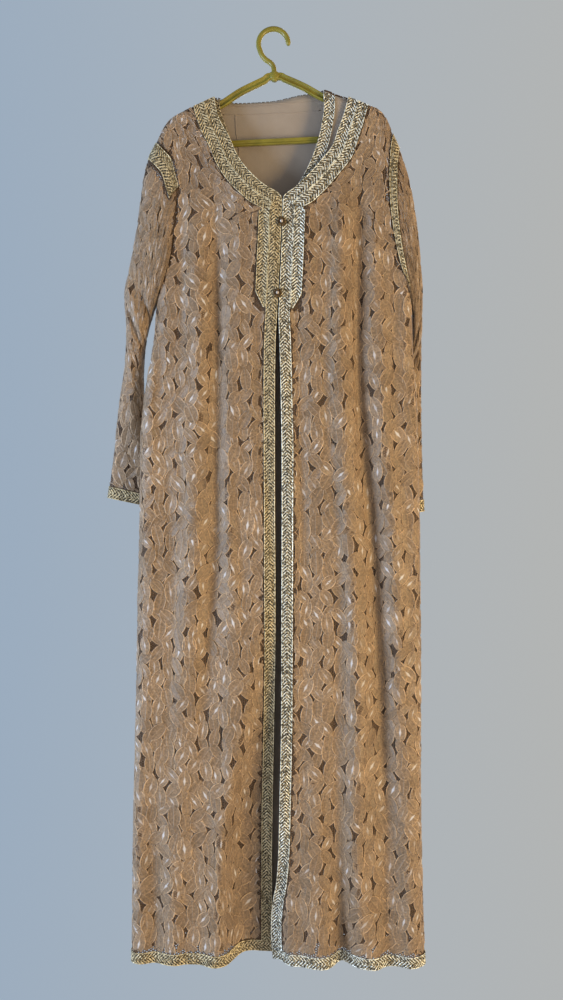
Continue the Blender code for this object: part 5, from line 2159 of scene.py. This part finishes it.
@dataclass
class Sleeve:
    """One sleeve: lace, cuff braid and the braid over its armhole seam."""

    part: Part
    thread: str
    seed: int

    def build(self, shop: Workshop) -> list[bpy.types.Object]:
        """Make all the pieces of this sleeve.

        Args:
            shop: Shared patterns and finishes.

        Returns:
            The net first.
        """
        side = self.part.value
        surface = sleeve_surface(self.part, SLEEVE_STEP)
        last_row, last = surface.points.shape[0] - 1, surface.points.shape[1] - 1
        rings = last_row - HEM_ROWS
        first, final = (rings * share ** (1.0 / RING_SPREAD) for share in SHOULDER_SHARES)
        middle = last // 2
        armhole = np.array(ARMHOLES[self.part], float)
        behind, ahead = (len(refined(armhole[:reach + 1], SLEEVE_STEP)) - 1
                         for reach in SHOULDER_REACH[self.part])
        columns = np.arange(middle - ahead, middle + behind + 1)
        final = np.full(len(columns), final)
        if self.part is Part.LEFT:
            down, numbers = arc(surface.points, 0), np.arange(last_row + 1.0)
            final = np.array([np.interp(np.interp(first, numbers, down[:, c]) + SHOULDER_BAND,
                                        down[:, c], numbers) for c in columns])
        covered = np.zeros((last_row, last), bool)
        covered[rings:] = True
        for column, end in zip(columns[:-1], np.maximum(final[:-1], final[1:])):
            covered[:math.ceil(end), column] = True
        covered[:1] = True
        pieces = LacePanel("sleeve_" + side, surface, covered, self.seed).build(shop)
        raised = surface.moved(BRAID_LIFT + BRAID_WALL)
        cuff = strip_of(raised, np.linspace(rings, last_row, HEM_ROWS + 1), np.arange(last + 1.0))
        cuff.closed = True
        pieces += Strip("cuff_braid_" + side, cuff, self.thread, across=True).build(shop)
        ridge = strip_of(raised, np.linspace(np.full(len(columns), first), final, HEM_ROWS + 1),
                         columns.astype(float))
        pieces += Strip("shoulder_braid_" + side, ridge, self.thread, across=True).build(shop)
        flat = surface.size()
        return pieces


@dataclass(frozen=True)
class Lamp:
    """Soft rectangular light."""

    name: str
    place: tuple[float, float, float]
    size: float
    power: float
    colour: tuple[float, float, float]

    def build(self) -> None:
        """Put the light in the scene, turned to the middle of the garment."""
        data = bpy.data.lights.new(self.name, "AREA")
        data.shape = "DISK"
        data.size = self.size
        data.energy = self.power
        data.color = self.colour
        lamp = bpy.data.objects.new(self.name, data)
        bpy.context.scene.collection.objects.link(lamp)
        lamp.location = self.place
        look = Vector((0.0, 0.0, -0.8)) - lamp.location
        lamp.rotation_euler = look.to_track_quat("-Z", "Y").to_euler()


@dataclass(frozen=True)
class Studio:
    """Lights, surroundings, floor and camera."""

    eye: tuple[float, float, float] = (0.0114, -1.4, -0.81675)
    field: float = 2.0 * math.atan(0.875 / 1.4)
    lamps: tuple[Lamp, ...] = (
        Lamp("key", (-2.3, -0.95, -0.85), 0.8, 62.0, (0.66, 0.80, 1.0)),
        Lamp("fill", (2.0, -1.3, -0.9), 0.9, 48.0, (1.0, 0.74, 0.38)),
        Lamp("rim", (0.2, 1.6, 0.6), 1.5, 18.0, (0.95, 0.97, 1.0)),
    )

    def build(self) -> None:
        """Make the whole studio."""
        for lamp in self.lamps:
            lamp.build()
        self.surround()
        self.floor()
        scene = bpy.context.scene
        data = bpy.data.cameras.new("camera")
        data.sensor_fit = "VERTICAL"
        data.angle = self.field
        camera = bpy.data.objects.new("camera", data)
        scene.collection.objects.link(camera)
        camera.location = self.eye
        camera.rotation_euler = (math.radians(90.0), 0.0, 0.0)
        scene.camera = camera
        scene.view_settings.view_transform = "Standard"

    @staticmethod
    def surround() -> None:
        """Pale surroundings: cool on the left, neutral on the right, warm there on the viewer's side."""
        world = bpy.data.worlds.new("studio")
        bpy.context.scene.world = world
        world.use_nodes = True
        graph = Graph(world.node_tree)
        place = graph.add("ShaderNodeTexCoord").outputs["Generated"]
        spot = graph.add("ShaderNodeSeparateXYZ", {0: place})
        share = graph.mapped(spot.outputs[0], -0.32, 0.32)
        colour = ramp(graph, share, ((0.0, (0.33, 0.415, 0.52)), (0.5, (0.40, 0.45, 0.50)),
                                     (1.0, (0.45, 0.46, 0.455))))
        back = world.node_tree.nodes["Background"]
        side = graph.mapped(spot.outputs[0], -0.7, 0.7)
        near = graph.mapped(spot.outputs[1], -0.4, 0.1, 1.0, 0.0)
        room = ramp(graph, side, ((0.0, (0.30, 0.34, 0.40)), (0.5, (0.28, 0.28, 0.28)),
                                  (1.0, (0.44, 0.38, 0.31))))
        colour = blended(graph, "MIX", near, colour, room)
        graph.tree.links.new(colour, back.inputs["Color"])
        back.inputs["Strength"].default_value = 1.0

    @staticmethod
    def floor() -> None:
        """Plain pale floor, below the picture's lower edge."""
        points = np.array([(-3000, -3000, -1950), (3000, -3000, -1950), (3000, 400, -1950),
                           (-3000, 400, -1950)], float)
        made = mesh_object("floor", points, [(0, 1, 2, 3)])
        material, _, _ = Finish("floor", (0.62, 0.62, 0.61), 0.85).start()
        made.data.materials.append(material)


def make_workshop() -> Workshop:
    """Finishes, patterns and trees.

    Returns:
        All that the pieces share.
    """
    wardrobe = Wardrobe()
    wardrobe.build()
    return Workshop(wardrobe, leaf_prototype(), thread_prototype(), leaf_tree(), thread_tree())


def put_away(shop: Workshop) -> None:
    """Remove the patterns once everything is laid."""
    for pattern in (shop.leaf, shop.thread):
        bpy.data.objects.remove(pattern)


def main() -> None:
    """Dress the frame and set up the studio."""
    logging.basicConfig(level=logging.INFO, format="%(name)s: %(message)s")
    shop = make_workshop()
    Hanger().build(shop)
    Back(31).build(shop)
    Front(Part.RIGHT, "gold", 11).build(shop)
    Front(Part.LEFT, "silver", 21).build(shop)
    Sleeve(Part.RIGHT, "gold", 41).build(shop)
    Sleeve(Part.LEFT, "gold", 51).build(shop)
    Button("button_top", 11.5, 338.5).build(shop)
    Button("button_bottom", 4.5, 461.5).build(shop)
    put_away(shop)
    Studio().build()


if __name__ == "__main__":
    main()
